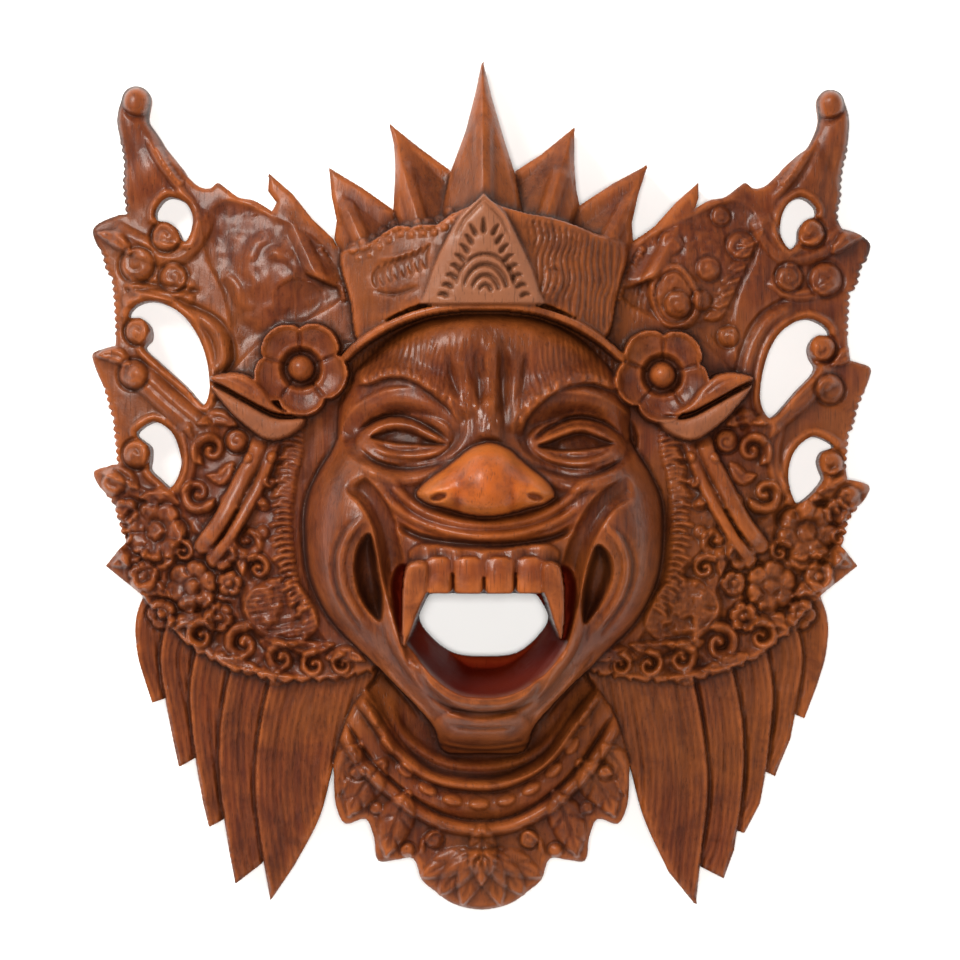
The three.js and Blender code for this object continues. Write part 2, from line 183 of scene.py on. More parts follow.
def softened(field):
    """A field with its sharpest corners rubbed off, over about one cell."""
    for axis in (0, 1):
        field = 0.5 * field + 0.25 * (np.roll(field, 1, axis) + np.roll(field, -1, axis))
    return field


# The block and the hand tools that cut it -------------------------------------------------------------------

# Tints painted onto the relief. "dark" is mostly painted shade: it darkens the narrow eye openings and the
# cheek dimples, and also a band down the forehead.
TINTS = ("warm", "pale", "red", "dark", "gloss")
MARGIN = 4.0


class Carving:
    """A block of wood as a grid: at each point a height, and a distance past the outline."""

    def __init__(self, step):
        self.step = step
        across = np.arange(-HALF_WIDTH - MARGIN, HALF_WIDTH + MARGIN, step)
        along = np.arange(-HALF_LENGTH - MARGIN, HALF_LENGTH + MARGIN, step)
        self.x, self.y = np.meshgrid(across, along, indexing="ij")
        self.z = np.zeros_like(self.x)
        self.gap = np.full_like(self.x, FAR)
        self.tints = {name: np.zeros_like(self.x) for name in TINTS}

    def near(self, points, reach):
        """The part of the grid round some points, as a pair of slices, with its x and y."""
        low, high = np.min(points, axis=0) - reach, np.max(points, axis=0) + reach
        origin = np.array([self.x[0, 0], self.y[0, 0]])
        first = np.maximum(((low - origin) / self.step).astype(int), 0)
        last = np.maximum(((high - origin) / self.step).astype(int) + 2, first + 1)
        part = np.s_[first[0]:last[0], first[1]:last[1]]
        return part, self.x[part], self.y[part]

    def saw(self, outline, keep=True):
        """Adds the inside of an outline to the silhouette, or cuts it out."""
        part, x, y = self.near(outline, 12.0)
        past = beyond(x, y, outline)
        self.gap[part] = np.minimum(self.gap[part], past) if keep else np.maximum(self.gap[part], -past)

    def saw_bar(self, line, half_width):
        """Adds a round-ended bar to the silhouette; half_width may be a function of the share along it."""
        part, x, y = self.near(line, 30.0)
        distance, _, share = trace(x, y, line)
        width = half_width(share) if callable(half_width) else half_width
        self.gap[part] = np.minimum(self.gap[part], distance - width)

    def notch(self, line, reach, pitch, cut):
        """Nicks the outline into small teeth where it runs close to a line."""
        part, x, y = self.near(line, reach)
        close = smooth(2.0 - 2.0 * trace(x, y, line)[0] / reach)
        self.gap[part] += cut * close * (0.5 - np.abs(np.sin(np.pi * y / pitch)))

    def ridge(self, line, half_width, rise, ends=0.25, power=1.0):
        """Raises a rounded ridge along a line, or cuts a groove where rise is negative."""
        part, x, y = self.near(line, half_width + 1.0)
        distance, _, share = trace(x, y, line)
        across = np.clip(1.0 - (distance / half_width) ** 2, 0.0, 1.0) ** power
        taper = smooth(np.minimum(share, 1.0 - share) / ends) if ends else 1.0
        self.z[part] += rise * across * taper

    def bar(self, line, half_width, top, ends=0.0):
        """Lays a half-round bar along a line; top is a height, or a function of x and y."""
        part, x, y = self.near(line, half_width + 1.0)
        distance, _, share = trace(x, y, line)
        height = top(x, y) if callable(top) else top
        taper = half_width * (1.0 - smooth(np.minimum(share, 1.0 - share) / ends)) if ends else 0.0
        body = height - half_width * (1.0 - half_round(np.clip(distance / half_width, 0, 1))) - taper
        self.z[part] = np.where(distance < half_width, np.maximum(self.z[part], body), self.z[part])

    def brow(self, line, rise, soft, hard, ends=0.25, side=1):
        """Raises an overhanging edge: it falls away softly on one side and sharply on the other."""
        part, x, y = self.near(line, max(soft, hard) + 1.0)
        distance, hand, share = trace(x, y, line)
        reach = np.where(hand * side > 0, soft, hard)
        fall = np.where(hand * side > 0, smooth(1.0 - distance / reach), half_round(distance / reach))
        taper = smooth(np.minimum(share, 1.0 - share) / ends) if ends else 1.0
        self.z[part] += rise * np.where(distance < reach, fall, 0.0) * taper

    def pad(self, outline, rise, edge, power=0.5):
        """Raises the inside of an outline, or sinks it, with a rounded edge this wide."""
        part, x, y = self.near(outline, 1.0)
        depth = np.clip(-beyond(x, y, outline) / edge, 0.0, 1.0)
        self.z[part] += rise * (1.0 - (1.0 - depth) ** 2) ** power

    def lay(self, outline, top, edge, over=True):
        """Lays a form on the relief: top is a height, or a function of x, y and depth in the outline."""
        part, x, y = self.near(outline, 1.0)
        depth = -beyond(x, y, outline)
        height = top(x, y, depth) if callable(top) else top
        height = height - edge * (1.0 - half_round(1.0 - np.clip(depth / max(edge, 1e-6), 0.0, 1.0)))
        old = self.z[part]
        new = np.maximum(old, height) if over else height
        self.z[part] = np.where(depth > 0, new, old)

    def hatch(self, outline, angle, pitch, cut, edge=2.0, waver=0.6, seed=1):
        """Cuts fine lines over an outline, running along the angle, in degrees."""
        part, x, y = self.near(outline, 1.0)
        depth = np.clip(-beyond(x, y, outline) / edge, 0.0, 1.0)
        turn = math.radians(angle)
        across = x * math.sin(turn) - y * math.cos(turn) + waver * patches(x, y, 9.0, seed)
        lines = np.abs(np.sin(np.pi * across / pitch)) ** 0.7 - 1.0
        self.z[part] += cut * lines * depth

    def bumps(self, outline, pitch, rise, edge=3.0, seed=3):
        """Raises packed bumps inside an outline."""
        part, x, y = self.near(outline, 1.0)
        depth = np.clip(-beyond(x, y, outline) / edge, 0.0, 1.0)
        bent = patches(x, y, pitch * 1.3, seed + 1) * pitch * 0.4
        self.z[part] += rise * depth * pebbles(x + bent, y - bent, pitch, seed)

    def boss(self, x0, y0, radius, rise, turns=0.0, hand=1):
        """Raises a round boss, with a spiral cut into it if it has turns."""
        part, x, y = self.near([(x0, y0)], radius * 1.35)
        dx, dy = x - x0, y - y0
        share = np.hypot(dx, dy) / radius
        dome = rise * half_round(share)
        moat = -0.45 * rise * np.exp(-(((share - 1.08) / 0.12) ** 2))
        spiral = 0.0
        if turns:
            wave = np.cos(2 * np.pi * share * turns - hand * np.arctan2(dy, dx))
            spiral = -0.35 * rise * np.clip(wave - 0.2, 0, 1) * smooth((1.0 - share) * 4) * smooth(share * 5)
        self.z[part] += dome + moat + spiral

    def rosette(self, x0, y0, radius, rise, petals, seed):
        """Raises a small worn flower: lobes round a knob, with lumps left by the gouge."""
        part, x, y = self.near([(x0, y0)], radius * 1.4)
        dx, dy = x - x0, y - y0
        angle = np.arctan2(dy, dx) + seed
        lobes = 1.0 + 0.16 * (np.abs(np.sin(angle * petals / 2)) ** 0.7 - 0.5)
        share = np.hypot(dx, dy) / (radius * lobes)
        petal = half_round(np.clip(np.abs(share - 0.66) / 0.34, 0, 1))
        knob = half_round(share / 0.36)
        between = np.abs(np.cos(angle * petals / 2 + math.pi / 2))
        gaps = np.exp(-((between / 0.30) ** 2)) * smooth(share * 3 - 0.8)
        lumps = patches(x, y, radius * 0.22, seed) + 0.6 * patches(x, y, radius * 0.11, seed + 1)
        body = np.maximum(0.8 * petal, 1.0 * knob) - 0.3 * gaps + 0.13 * lumps
        moat = -0.35 * np.exp(-(((share - 1.06) / 0.10) ** 2))
        self.z[part] += rise * np.where(share < 1, body, 0.0) + rise * moat

    def scroll(self, x0, y0, radius, start, hand=1, rise=5.0):
        """Raises a curled leaf: a ridge that winds inwards to a knob, over a shallow dish."""
        turns = np.linspace(0.0, 1.25, 40)
        angle = math.radians(start) + hand * 2 * np.pi * turns
        reach = radius * (1.0 - 0.68 * turns)
        path = np.column_stack([x0 + reach * np.cos(angle), y0 + reach * np.sin(angle)])
        part, x, y = self.near([(x0, y0)], radius * 1.5)
        self.z[part] -= 1.6 * smooth(1.3 - np.hypot(x - x0, y - y0) / radius)
        distance, _, share = trace(x, y, path)
        width = radius * (0.34 - 0.14 * share) * smooth(share * 8 + 0.25)
        body = half_round(np.clip(distance / width, 0, 1))
        self.z[part] += rise * body * (1.0 - 0.25 * share)
        self.z[part] += 0.5 * rise * half_round(np.hypot(x - x0, y - y0) / (0.22 * radius))

    def leaf_cut(self, line, half_width, depth):
        """Cuts a drop-shaped slot along a line: round at its start and pointed at its end."""
        part, x, y = self.near(line, half_width + 1.0)
        distance, _, share = trace(x, y, line)
        width = half_width * np.sqrt(np.clip(1.04 - share, 0, 1)) * np.clip(0.7 + share * 3, 0, 1)
        self.z[part] -= depth * np.clip(1.0 - (distance / np.maximum(width, 0.1)) ** 2, 0.0, 1.0) ** 0.5

    def worm(self, outline, rise, size, seed):
        """Leaves the inside of an outline lumpy, as worn carving is."""
        part, x, y = self.near(outline, 1.0)
        depth = np.clip(-beyond(x, y, outline) / 3.0, 0.0, 1.0)
        self.z[part] += rise * depth * (patches(x, y, size, seed) + 0.5 * patches(x, y, size * 0.5, seed + 7))

    def leaf(self, line, half_width, rise, veins=0):
        """Raises a leaf along a line, with a cut midrib and slanting veins."""
        part, x, y = self.near(line, half_width * 1.3)
        distance, hand, share = trace(x, y, line)
        shape = np.sin(np.pi * np.clip(share, 0.02, 0.98) ** 0.8) ** 0.6
        width = np.maximum(half_width * shape, 0.3)
        across = distance / width
        body = rise * half_round(np.clip(across, 0, 1)) ** 0.9
        midrib = -0.35 * rise * np.exp(-((distance / 0.8) ** 2)) * smooth(4 * (1 - share))
        cuts = 0.0
        if veins:
            phase = share * veins - 0.55 * across * np.abs(hand)
            cuts = -0.28 * rise * np.clip(np.cos(2 * np.pi * phase), 0, 1) ** 3 * smooth(3 * across)
        self.z[part] += np.where(across < 1.0, body + midrib + cuts, 0.0)

    def paint(self, name, outline, strength=1.0, soft=2.0):
        """Tints the inside of an outline."""
        part, x, y = self.near(outline, soft + 1.0)
        amount = strength * smooth(0.5 - beyond(x, y, outline) / (2 * soft))
        self.tints[name][part] = np.maximum(self.tints[name][part], amount)

    def wipe(self, name, outline, soft=1.0):
        """Takes a tint off the inside of an outline."""
        part, x, y = self.near(outline, soft + 1.0)
        self.tints[name][part] *= 1.0 - smooth(0.5 - beyond(x, y, outline) / (2 * soft))


def ring(x, y, half_width, half_length, turn=0.0, steps=28):
    """An ellipse as an outline, turned by some degrees."""
    angles = np.linspace(0, 2 * np.pi, steps, endpoint=False)
    a, b, t = half_width * np.cos(angles), half_length * np.sin(angles), math.radians(turn)
    return np.column_stack([x + a * math.cos(t) - b * math.sin(t), y + a * math.sin(t) + b * math.cos(t)])


def loop(points, side=1, per=6):
    """A smooth closed outline through points given for the right-hand half."""
    return curve(on_side(points, side), closed=True, per=per)


def line(points, side=1, middle=0.0, per=8):
    """A smooth open line through points given for the right-hand half."""
    return curve(on_side(points, side, middle), per=per)


def mirrored(points):
    """A whole outline from its right-hand half, listed from the bottom up."""
    return points + [(-x, y) for x, y in reversed(points) if x]


# The plain form behind the detail ---------------------------------------------------------------------------

SHIELD = {"centre": 46.0, "fall_x": 28.0, "fall_y": 20.0}
LEAST_THICKNESS = 12.0
FACE_DOME = {"x": 1.0, "y": -20.0, "half_width": 84.0, "half_length": 98.0, "rim": 30.0, "rise": 46.0}


def mound(x, y, centre_x, centre_y, half_width, half_length, turn=0.0):
    dx, dy = x - centre_x, y - centre_y
    across = (dx * math.cos(turn) + dy * math.sin(turn)) / half_width
    along = (dy * math.cos(turn) - dx * math.sin(turn)) / half_length
    return np.clip(1.0 - across**2 - along**2, 0.0, 1.0) ** 1.5


def shield(x, y):
    fall = SHIELD["fall_x"] * (x / HALF_WIDTH) ** 2 + SHIELD["fall_y"] * (y / HALF_LENGTH) ** 2
    return np.maximum(SHIELD["centre"] - fall, LEAST_THICKNESS)


def plate(x, y):
    """The wings and the throat before they are carved."""
    side = np.abs(x)
    swell = 6 * mound(side, y, 92, 96, 26, 30) + 7 * mound(side, y, 108, -30, 40, 34)
    return shield(x, y) + swell - 9 * mound(x, y, 0, -118, 46, 26)


def face_dome(x, y):
    """The face before its features are carved."""
    side = np.abs(x - 1)
    f = FACE_DOME
    reach = ((x - f["x"]) / f["half_width"]) ** 2 + ((y - f["y"]) / f["half_length"]) ** 2
    muzzle = 20 * mound(x, y, 1, -72, 52, 58)
    cheek = 14 * mound(side, y, 60, -20, 26, 48, 0.25)
    socket = 8 * mound(side, y, 36, 20, 30, 17)
    return f["rim"] + f["rise"] * np.sqrt(np.clip(1 - reach, 0, 1)) + muzzle + cheek - socket


# The silhouette ---------------------------------------------------------------------------------------------

WING_EDGE = [
    (45, 40), (58, 100), (92, 121), (102, 127), (108.4, 128.3), (114.4, 132.6), (118, 135), (121.6, 132.6),
    (126.4, 133.4), (134, 140), (146, 150), (158, 146), (161, 137), (160, 127), (160, 119), (165, 108),
    (166, 94.6), (165, 85), (164, 66), (165.5, 50), (165, 29.5), (163, 9), (164, -9), (162, -18),
    (159.3, -25.4), (156, -38), (151, -48.2), (135, -68), (112, -82), (87, -87), (57, -85), (45, -60),
]
HORNS = {
    -1: {"line": [(143, 124), (147.5, 137), (152, 150), (156.8, 163), (155.3, 172.6)],
         "half_widths": [16, 14.5, 9.8, 7.2, 6.6]},
    1: {"line": [(143, 124), (149, 137), (155.5, 150), (158.4, 163), (157, 171.4)],
        "half_widths": [17, 14.5, 9, 7.2, 6.2]},
}
LOBES = [
    [(158, 120.5), (168, 119.5), (174.7, 115), (173.5, 108.5), (170.5, 104), (167.4, 94.6), (158, 92)],
    [(160, 61.5), (170, 60.8), (174.7, 58.5), (173.4, 52.4), (168.6, 41.6), (164.5, 30), (156, 34)],
    [(160, 8), (168, 8), (174, 5.6), (172.4, 0.7), (164.5, -9), (160, -22), (150, -12)],
]
LOBE_DROP = {-1: 0.0, 1: -6.5}
THORN = [(155, -25), (159.3, -26), (164, -31), (168.6, -36.5), (159, -44), (151, -50), (146, -40)]
HOLES = {
    -1: [
        [(140.6, 128.7), (146, 122.8), (145.6, 118.6), (140.6, 117.4), (136.4, 114.4), (134.2, 109.6),
         (132.4, 108.6), (129.9, 113), (129.3, 120), (133, 126.5)],
        [(148, 82.2), (156, 79.4), (158.2, 75), (152.6, 74.4), (148.6, 70.6), (148.2, 65), (151, 61.4),
         (144.5, 54.8), (132.5, 44), (124, 35.5), (121.3, 41.6), (122.8, 56), (127.6, 68), (136, 77.7)],
        [(146.4, 28), (154.6, 22.4), (151.6, 19.4), (148.4, 16.6), (148.2, 10.6), (148.6, 7), (145, 3),
         (138.9, -1.5), (134.2, 7.6), (134.8, 15), (138.5, 23.5)],
    ],
    1: [
        [(143.4, 128.8), (149.6, 124.6), (150, 120.6), (145.6, 118.6), (142.4, 114.6), (141.8, 109),
         (138, 105.2), (134, 111), (134.2, 119), (137.6, 126)],
        [(145.8, 74.3), (154.5, 70.4), (156, 67), (150, 66.4), (146.8, 62), (147.2, 57), (149.6, 52),
         (141, 41.6), (128.5, 29.5), (124.6, 36), (124.7, 46), (128.9, 60.8), (135, 69.3)],
        [(148.5, 21.5), (158, 16.8), (152.6, 14.4), (150.8, 10.4), (151.8, 6), (153, 2.4), (141, -8.6),
         (137.2, 0), (137.3, 8), (140.5, 15.9)],
    ],
}
BUDS = {
    -1: [(141, 111.2, 6.6), (153.6, 68.6, 6.0), (154.2, 13.6, 6.4)],
    1: [(147.4, 112.8, 6.4), (152.6, 61.0, 6.0), (156.2, 9.6, 5.6)],
}
SERRATED = [
    [(162, 150), (162, 139), (161, 130), (160, 122)], [(170, 101), (167.5, 94), (166, 86), (165, 70)],
    [(168.5, 40), (166, 30), (164.5, 18), (163.5, 11)], [(166, -8), (163.5, -14), (161.5, -20)],
]
MOUTH_HOLE = [
    (0, -48.2), (16, -48.2), (23.6, -48.6), (26.5, -52), (29.6, -59.5), (25, -67.5), (15.5, -75), (1, -76.6),
    (-12.2, -75), (-22.5, -67.5), (-27.6, -59.5), (-25.5, -53), (-22.6, -48.6), (-15, -48.2),
]
SPIKES = {
    -1: [
        {"edge": [(41.2, 161.1), (39, 151), (38.4, 140), (39.2, 122), (30, 100), (6, 100), (13.1, 139.2),
                  (27.6, 150)], "root": (23, 100)},
        {"edge": [(68, 141.3), (66.8, 128.3), (64.5, 117.5), (65.6, 109.3), (58, 92), (28, 96),
                  (39.4, 122.3), (52.9, 132)], "root": (46, 92)},
        {"edge": [(94.9, 139), (95.4, 131), (91.5, 125.9), (93.6, 121.6), (84, 96), (56, 84), (66, 109.2),
                  (75.8, 118.7), (84.2, 129.5)], "root": (72, 90)},
    ],
    1: [
        {"edge": [(41.4, 159.4), (41.3, 143), (42.2, 131), (43.6, 124.1), (34, 100), (6, 100), (14.6, 139.2),
                  (26.5, 147)], "root": (23, 100)},
        {"edge": [(74.3, 142.8), (69.9, 129.5), (66.9, 116.3), (67.5, 107.9), (60, 92), (28, 96),
                  (43.4, 124.1), (59, 134.4)], "root": (48, 92)},
        {"edge": [(97, 135), (97, 128.3), (95.2, 122.5), (98, 120), (88, 96), (56, 84), (67.4, 108),
                  (77.1, 115), (86.8, 125.9)], "root": (74, 88)},
    ],
}
SPIKE_HEIGHTS = [(60, 30), (54, 27), (44, 23)]
MIDDLE_SPIKE = {
    "edge": [(0.4, 190), (4.8, 171.7), (9.6, 154.9), (14.7, 138.6), (22, 100), (-22, 100), (-13.9, 138.6),
             (-7.1, 157.3), (-2.9, 174)],
    "root": (1, 100), "heights": (66, 32),
}
LOCKS = [
    {"outer": [(149, -44), (155, -60), (154.4, -76), (150.5, -90)],
     "tip": {-1: (147.8, -98), 1: (144.8, -105)},
     "notch": {-1: (142, -96), 1: (138, -102)}, "inner": [(137, -70), (129, -54)]},
    {"outer": [(139, -55), (144, -76), (141.8, -96), (138.6, -114)],
     "tip": {-1: (135.9, -127), 1: (131.7, -131)},
     "notch": {-1: (128, -122.5), 1: (122.5, -126.5)}, "inner": [(121, -88), (117, -58)]},
    {"outer": [(124, -60), (130.5, -90), (128.6, -120), (125, -143)],
     "tip": {-1: (122.4, -154), 1: (118, -156.6)},
     "notch": {-1: (116, -150.5), 1: (108.6, -153.6)}, "inner": [(107, -108), (103, -66)]},
    {"outer": [(108, -66), (116.5, -104), (117.2, -135), (113.4, -164)],
     "tip": {-1: (110.6, -179.6), 1: (108.8, -177)},
     "notch": {-1: (98.4, -170), 1: (97, -171)}, "inner": [(92, -122), (87, -74)]},
    {"outer": [(90, -70), (98.5, -106), (101.5, -136), (98.5, -165)],
     "tip": {-1: (94.8, -187), 1: (96.2, -189)},
     "notch": {-1: (84, -171), 1: (84, -174)},
     "inner": [(73, -150), (66.5, -126), (59, -102), (46, -80), (60, -70)]},
]
THROAT = [
    (0, -190), (13, -187.2), (21, -181.5), (26.6, -176.6), (30.5, -167), (38.5, -167.6), (46.2, -168),
    (48, -157.5), (51.8, -149.2), (60.8, -151.4), (65, -143), (66, -125), (72, -95), (60, -60),
]
UNDER_CROWN = [(60, 40), (60, 100), (30, 116), (8, 118)]
UNDER_FACE = [(0, -130), (60, -90), (70, -40), (66, 60), (0, 90)]


def saw_wing(mask, side):
    mask.saw(loop(WING_EDGE, side, per=5))
    horn = HORNS[side]
    shares = np.linspace(0, 1, len(horn["half_widths"]))
    mask.saw_bar(line(horn["line"], side), lambda share: np.interp(share, shares, horn["half_widths"]))
    for lobe in LOBES:
        mask.saw(loop([(x, y + LOBE_DROP[side]) for x, y in lobe], side, per=4))
    mask.saw(np.array(on_side(THORN, side)))
    for hole in HOLES[side]:
        mask.saw(loop(hole, side, per=5), keep=False)
    for stretch in SERRATED:
        mask.notch(line(stretch, side), 5.0, 3.3, 1.1)


def lock_outline(lock, side):
    """One lock of the beard: down its outer edge to the tip, into the notch and up its inner edge."""
    outer = curve(lock["outer"], per=6)
    inner = curve([lock["notch"][side]] + lock["inner"], per=6)
    edge = [tuple(p) for p in outer] + [lock["tip"][side]] + [tuple(p) for p in inner]
    return np.array(on_side(edge, side))


def saw_silhouette(mask):
    for side in SIDES:
        saw_wing(mask, side)
        for lock in LOCKS:
            mask.saw(lock_outline(lock, side))
        for spike in SPIKES[side]:
            mask.saw(np.array(on_side(spike["edge"], side)))
    mask.saw(np.array(MIDDLE_SPIKE["edge"]))
    mask.saw(np.array(mirrored(UNDER_CROWN)))
    mask.saw(curve(mirrored(THROAT), closed=True, per=4))
    mask.saw(np.array(mirrored(UNDER_FACE)))
    mask.saw(loop(MOUTH_HOLE, per=5), keep=False)


# The wings --------------------------------------------------------------------------------------------------

RIB_CENTRE = (158.0, 56.0)
RIBS = [(7.5, 3.2, 2.6), (12.5, 1.4, -1.6)]
ARMS = [
    {"points": [(160, 52), (150, 46), (140, 37), (129, 28), (118, 18)], "half_width": 6.0, "rise": 5.0},
    {"points": [(172, 4), (162, -2), (152, -8), (140, -10)], "half_width": 6.5, "rise": 3.5},
    {"points": [(168, 115), (157, 109), (146, 104), (136, 103), (128, 111), (123, 123)], "half_width": 5.5,
     "rise": 3.5},
    {"points": [(160, 92), (150, 86), (138, 85), (128, 92)], "half_width": 3.0, "rise": 2.4},
    {"points": [(133, 28), (130, 14), (132, 2), (138, -4)], "half_width": 3.4, "rise": 3.5},
]
STEMS = [
    {"points": [(98, 21), (101, 12), (106, 3), (111.5, -8), (117, -18), (124, -27)], "half_width": 3.9,
     "rise": 7.5},
    {"points": [(92, 18), (95.5, 8), (100, -3), (106, -14), (112, -24), (119, -33)], "half_width": 2.7,
     "rise": 6.0},
]
DISCS = [(154.2, 98.4, 7.6, 3.4, 1.0), (137.8, 92.6, 6.2, 3.4, 1.6), (155.8, 49.2, 6.6, 3.8, 1.0),
         (164.5, 0.5, 5.4, 3.0, 1.3), (108.9, 19.4, 5.2, 4.4, 1.3)]
ROSETTES = [(145.5, -21, 13.0, 5.5, 7), (129, -45.5, 11.0, 5.0, 6), (151, -41, 6.6, 4.5, 5),
            (116, -31, 7.0, 5.0, 5), (143, -58, 6.6, 4.5, 5), (112, -44, 5.6, 4.5, 5),
            (159, -12, 5.6, 3.5, 5), (117, -59, 6.4, 5.0, 6)]
SCROLLS = [
    (103.5, -24.5, 8.6, 60, -1), (126.5, -4, 7.8, 200, 1), (120.5, 15.5, 7.6, 300, 1),
    (106, -71, 8.2, 120, -1), (89, -77.5, 7.0, 120, -1), (74.5, -80, 6.0, 110, -1),
    (61.5, -80, 5.0, 100, -1), (125, -67.5, 6.8, 130, -1), (99, -37, 5.4, 30, 1), (113, -8, 4.6, 250, -1),
    (133, -30, 5.2, 20, 1), (160, -24, 4.6, 320, 1),
]
TUFTS = [
    [(106, 4), (99, 9), (93, 8)], [(107, -3), (100, 1), (94, -1)], [(108, -10), (101, -6), (95, -9)],
    [(110, 27), (117, 30), (126, 27)], [(111, 9), (116, 3), (122, 4)], [(104, 27), (107, 33), (114, 36)],
    [(140, -64), (130, -60), (118, -65)], [(118, -76), (110, -80), (99, -82)],
    [(100, -83), (92, -86), (83, -86)], [(120, -52), (122, -58), (120, -66)],
    [(154, -49), (147, -46), (139, -50)], [(98, -70), (90, -72), (82, -70.5)],
    [(150, -30), (157, -33), (165, -36)], [(138, -33), (144, -35), (152, -31)],
    [(86, -71), (76, -73), (66, -71)], [(68, -77), (60, -75), (52, -78)],
    [(110, -22), (107, -30), (106, -40)], [(136, -8), (143, -5), (152, -6)],
    [(154, -1), (160, 4), (169, 5)], [(158, 54), (164, 58), (172, 58)], [(158, 104), (164, 110), (172, 113)],
    [(160, -22), (161, -28), (158, -36)],
]
SHELL = [(84, -42), (95, -42), (103, -48), (106, -55), (102, -62), (95, -67), (86, -70), (77, -68.5),
         (72, -62), (76, -50)]
FIELD = [(70, 106), (92, 119), (114, 127), (124, 118), (123, 102), (115, 84), (112, 62), (115, 47), (100, 62),
         (76, 74), (62, 84)]
FIELD_SCROLLS = [(84.3, 107.5, 5.4), (115.7, 107, 6.2), (101, 96, 5.6), (107, 120, 4.4), (110, 66, 4.8),
                 (98, 82, 4.6)]
WING_FOOT = [(166, -8), (160, -38), (151.5, -50.5), (143, -59), (135, -68), (124, -76.5), (112, -82),
             (99, -86), (87, -87.5), (70, -87), (57, -85), (46, -81), (40, -60), (60, 0)]
LOWER_WING = [(164, -4), (158, -36), (140, -62), (112, -80), (84, -85), (56, -82), (70, -68), (80, -46),
              (98, -28), (112, -8), (130, -12), (146, -4)]


def carve_wing(mask, side):
    """Arms, discs, rosettes, curled petals and leaves over one pierced wing."""
    foot = loop(WING_FOOT, side)
    wave = np.arange(len(foot))
    foot = foot + 1.1 * np.column_stack([np.sin(wave * 1.7), np.cos(wave * 2.3)])
    mask.lay(foot, lambda x, y, depth: plate(x, y) + 2.5 * smooth((-y - 10) / 40), 2.5)
    lower = loop(LOWER_WING, side)
    mask.pad(lower, -3.5, 8.0)
    mask.worm(lower, 0.9, 3.4, seed=61)
    carve_field(mask, side)
    for hole in HOLES[side]:
        mask.ridge(offset_loop(hole, 2.2, side), 2.0, 1.8, ends=0)
    inner = [p for p in HOLES[side][1] if p[0] < 139 or p[1] > 72]
    arc = np.array(sorted(inner, key=lambda p: p[1]))
    away = arc - np.array(RIB_CENTRE)
    away /= np.hypot(*away.T)[:, None]
    for offset, half_width, rise in RIBS:
        mask.ridge(line([tuple(p) for p in arc + away * offset], side), half_width, rise, ends=0.1)
    for arm in ARMS:
        path = line(arm["points"], side)
        mask.ridge(path, arm["half_width"], arm["rise"], ends=0.12, power=0.6)
        mask.ridge(path, arm["half_width"] * 0.22, -0.9, ends=0.25)
    for x, y, radius, rise, petals in ROSETTES:
        mask.rosette(side * x, y, radius, rise, petals, seed=int(x) + side)
    for tuft in TUFTS:
        mask.leaf(line(tuft, side), 3.8, 4.2, veins=2)
    for x, y, radius, start, hand in SCROLLS:
        mask.scroll(side * x, y, radius, start if side > 0 else 180 - start, hand * side)
    for x, y, radius, rise, turns in DISCS:
        drop = LOBE_DROP[side] if x > 150 else 0.0
        mask.boss(side * x, y + drop, radius, rise, turns, hand=side)
    mask.worm(lower, 1.5, 4.6, seed=63 + side)
    for x, y, radius in BUDS[side]:
        mask.boss(side * x, y, radius, 5.5, 0.7, hand=-side)
    for stem in STEMS:
        path = line(stem["points"], side)
        mask.bar(path, stem["half_width"], lambda x, y: plate(x, y) + stem["rise"], ends=0.1)
        mask.paint("warm", np.vstack([path + (1.6, 0.8), path[::-1] - (1.6, 0.8)]), 0.15, 1.5)
    carve_shell(mask, side)
    carve_horn(mask, side)
    beads = line([(71.6, 104.5), (67.5, 97), (63.5, 90), (61, 83)], side, per=3)
    for x, y in beads:
        mask.boss(x, y, 1.8, 2.4)


def offset_loop(points, distance, side):
    """A closed outline through points moved away from their middle."""
    p = np.array(points)
    away = p - p.mean(axis=0)
    away /= np.hypot(*away.T)[:, None]
    return loop([tuple(q) for q in p + away * distance], side)


def carve_field(mask, side):
    """The broad upper field: rubbed nearly smooth on the left, cut with scrolled leaves on the right."""
    field = loop(FIELD, side)
    mask.pad(field, -2.6, 7.0)
    mask.worm(field, 0.55, 6.5, seed=31)
    mask.worm(field, 0.2 if side < 0 else 0.5, 2.2, seed=33)
    if side < 0:
        for points in ([(78, 92), (86, 101), (97, 104)], [(118, 96), (110, 88), (106, 76)],
                       [(92, 112), (100, 108), (104, 98)]):
            mask.ridge(line(points, side), 3.4, 1.6)
        mask.pad(loop([(70, 84), (82, 92), (92, 86), (90, 74), (76, 74)], side), -1.6, 4.0)
        return
    drop = loop([(74, 84), (77, 95), (86, 98.5), (94, 92), (98, 80), (93, 70), (82, 70)])
    mask.pad(drop, 3.5, 3.0)
    mask.ridge(loop([(77, 84), (80, 92), (86, 95), (92, 89), (94.5, 80), (90, 73), (82, 73)]), 0.9, -2.0,
               ends=0)
    mask.boss(87, 80, 6.0, 3.0, 1.2)
    for index, (x, y, radius) in enumerate(FIELD_SCROLLS):
        mask.boss(x, y, radius, 2.6, 1.4, hand=1 if index % 2 else -1)
    for start in range(7):
        x, y = 100 + start * 2.6, 74 + start * 5.5
        mask.leaf(line([(x, y), (x + 5, y + 2), (x + 10, y + 7)]), 2.6, 2.2, veins=0)
    mask.hatch(loop([(62, 82), (66, 100), (74, 104), (74, 84), (68, 72)]), 82, 2.4, 1.2)


def carve_shell(mask, side):
    """The rounded leaf beside the jaw, cut with wavy lines inside a raised lip."""
    edge = loop(SHELL, side)
    mask.pad(edge, 5.0, 4.0)
    if side < 0:
        mask.hatch(edge, 8, 2.5, 1.4, waver=1.8)
    else:
        mask.bumps(edge, 2.8, -1.8, 2.0, seed=51)
    lip = line([(100, -44), (105.5, -52), (104, -60), (96, -67), (86, -70.5), (76, -69)], side)
    mask.ridge(lip, 1.8, 3.0, ends=0.15)


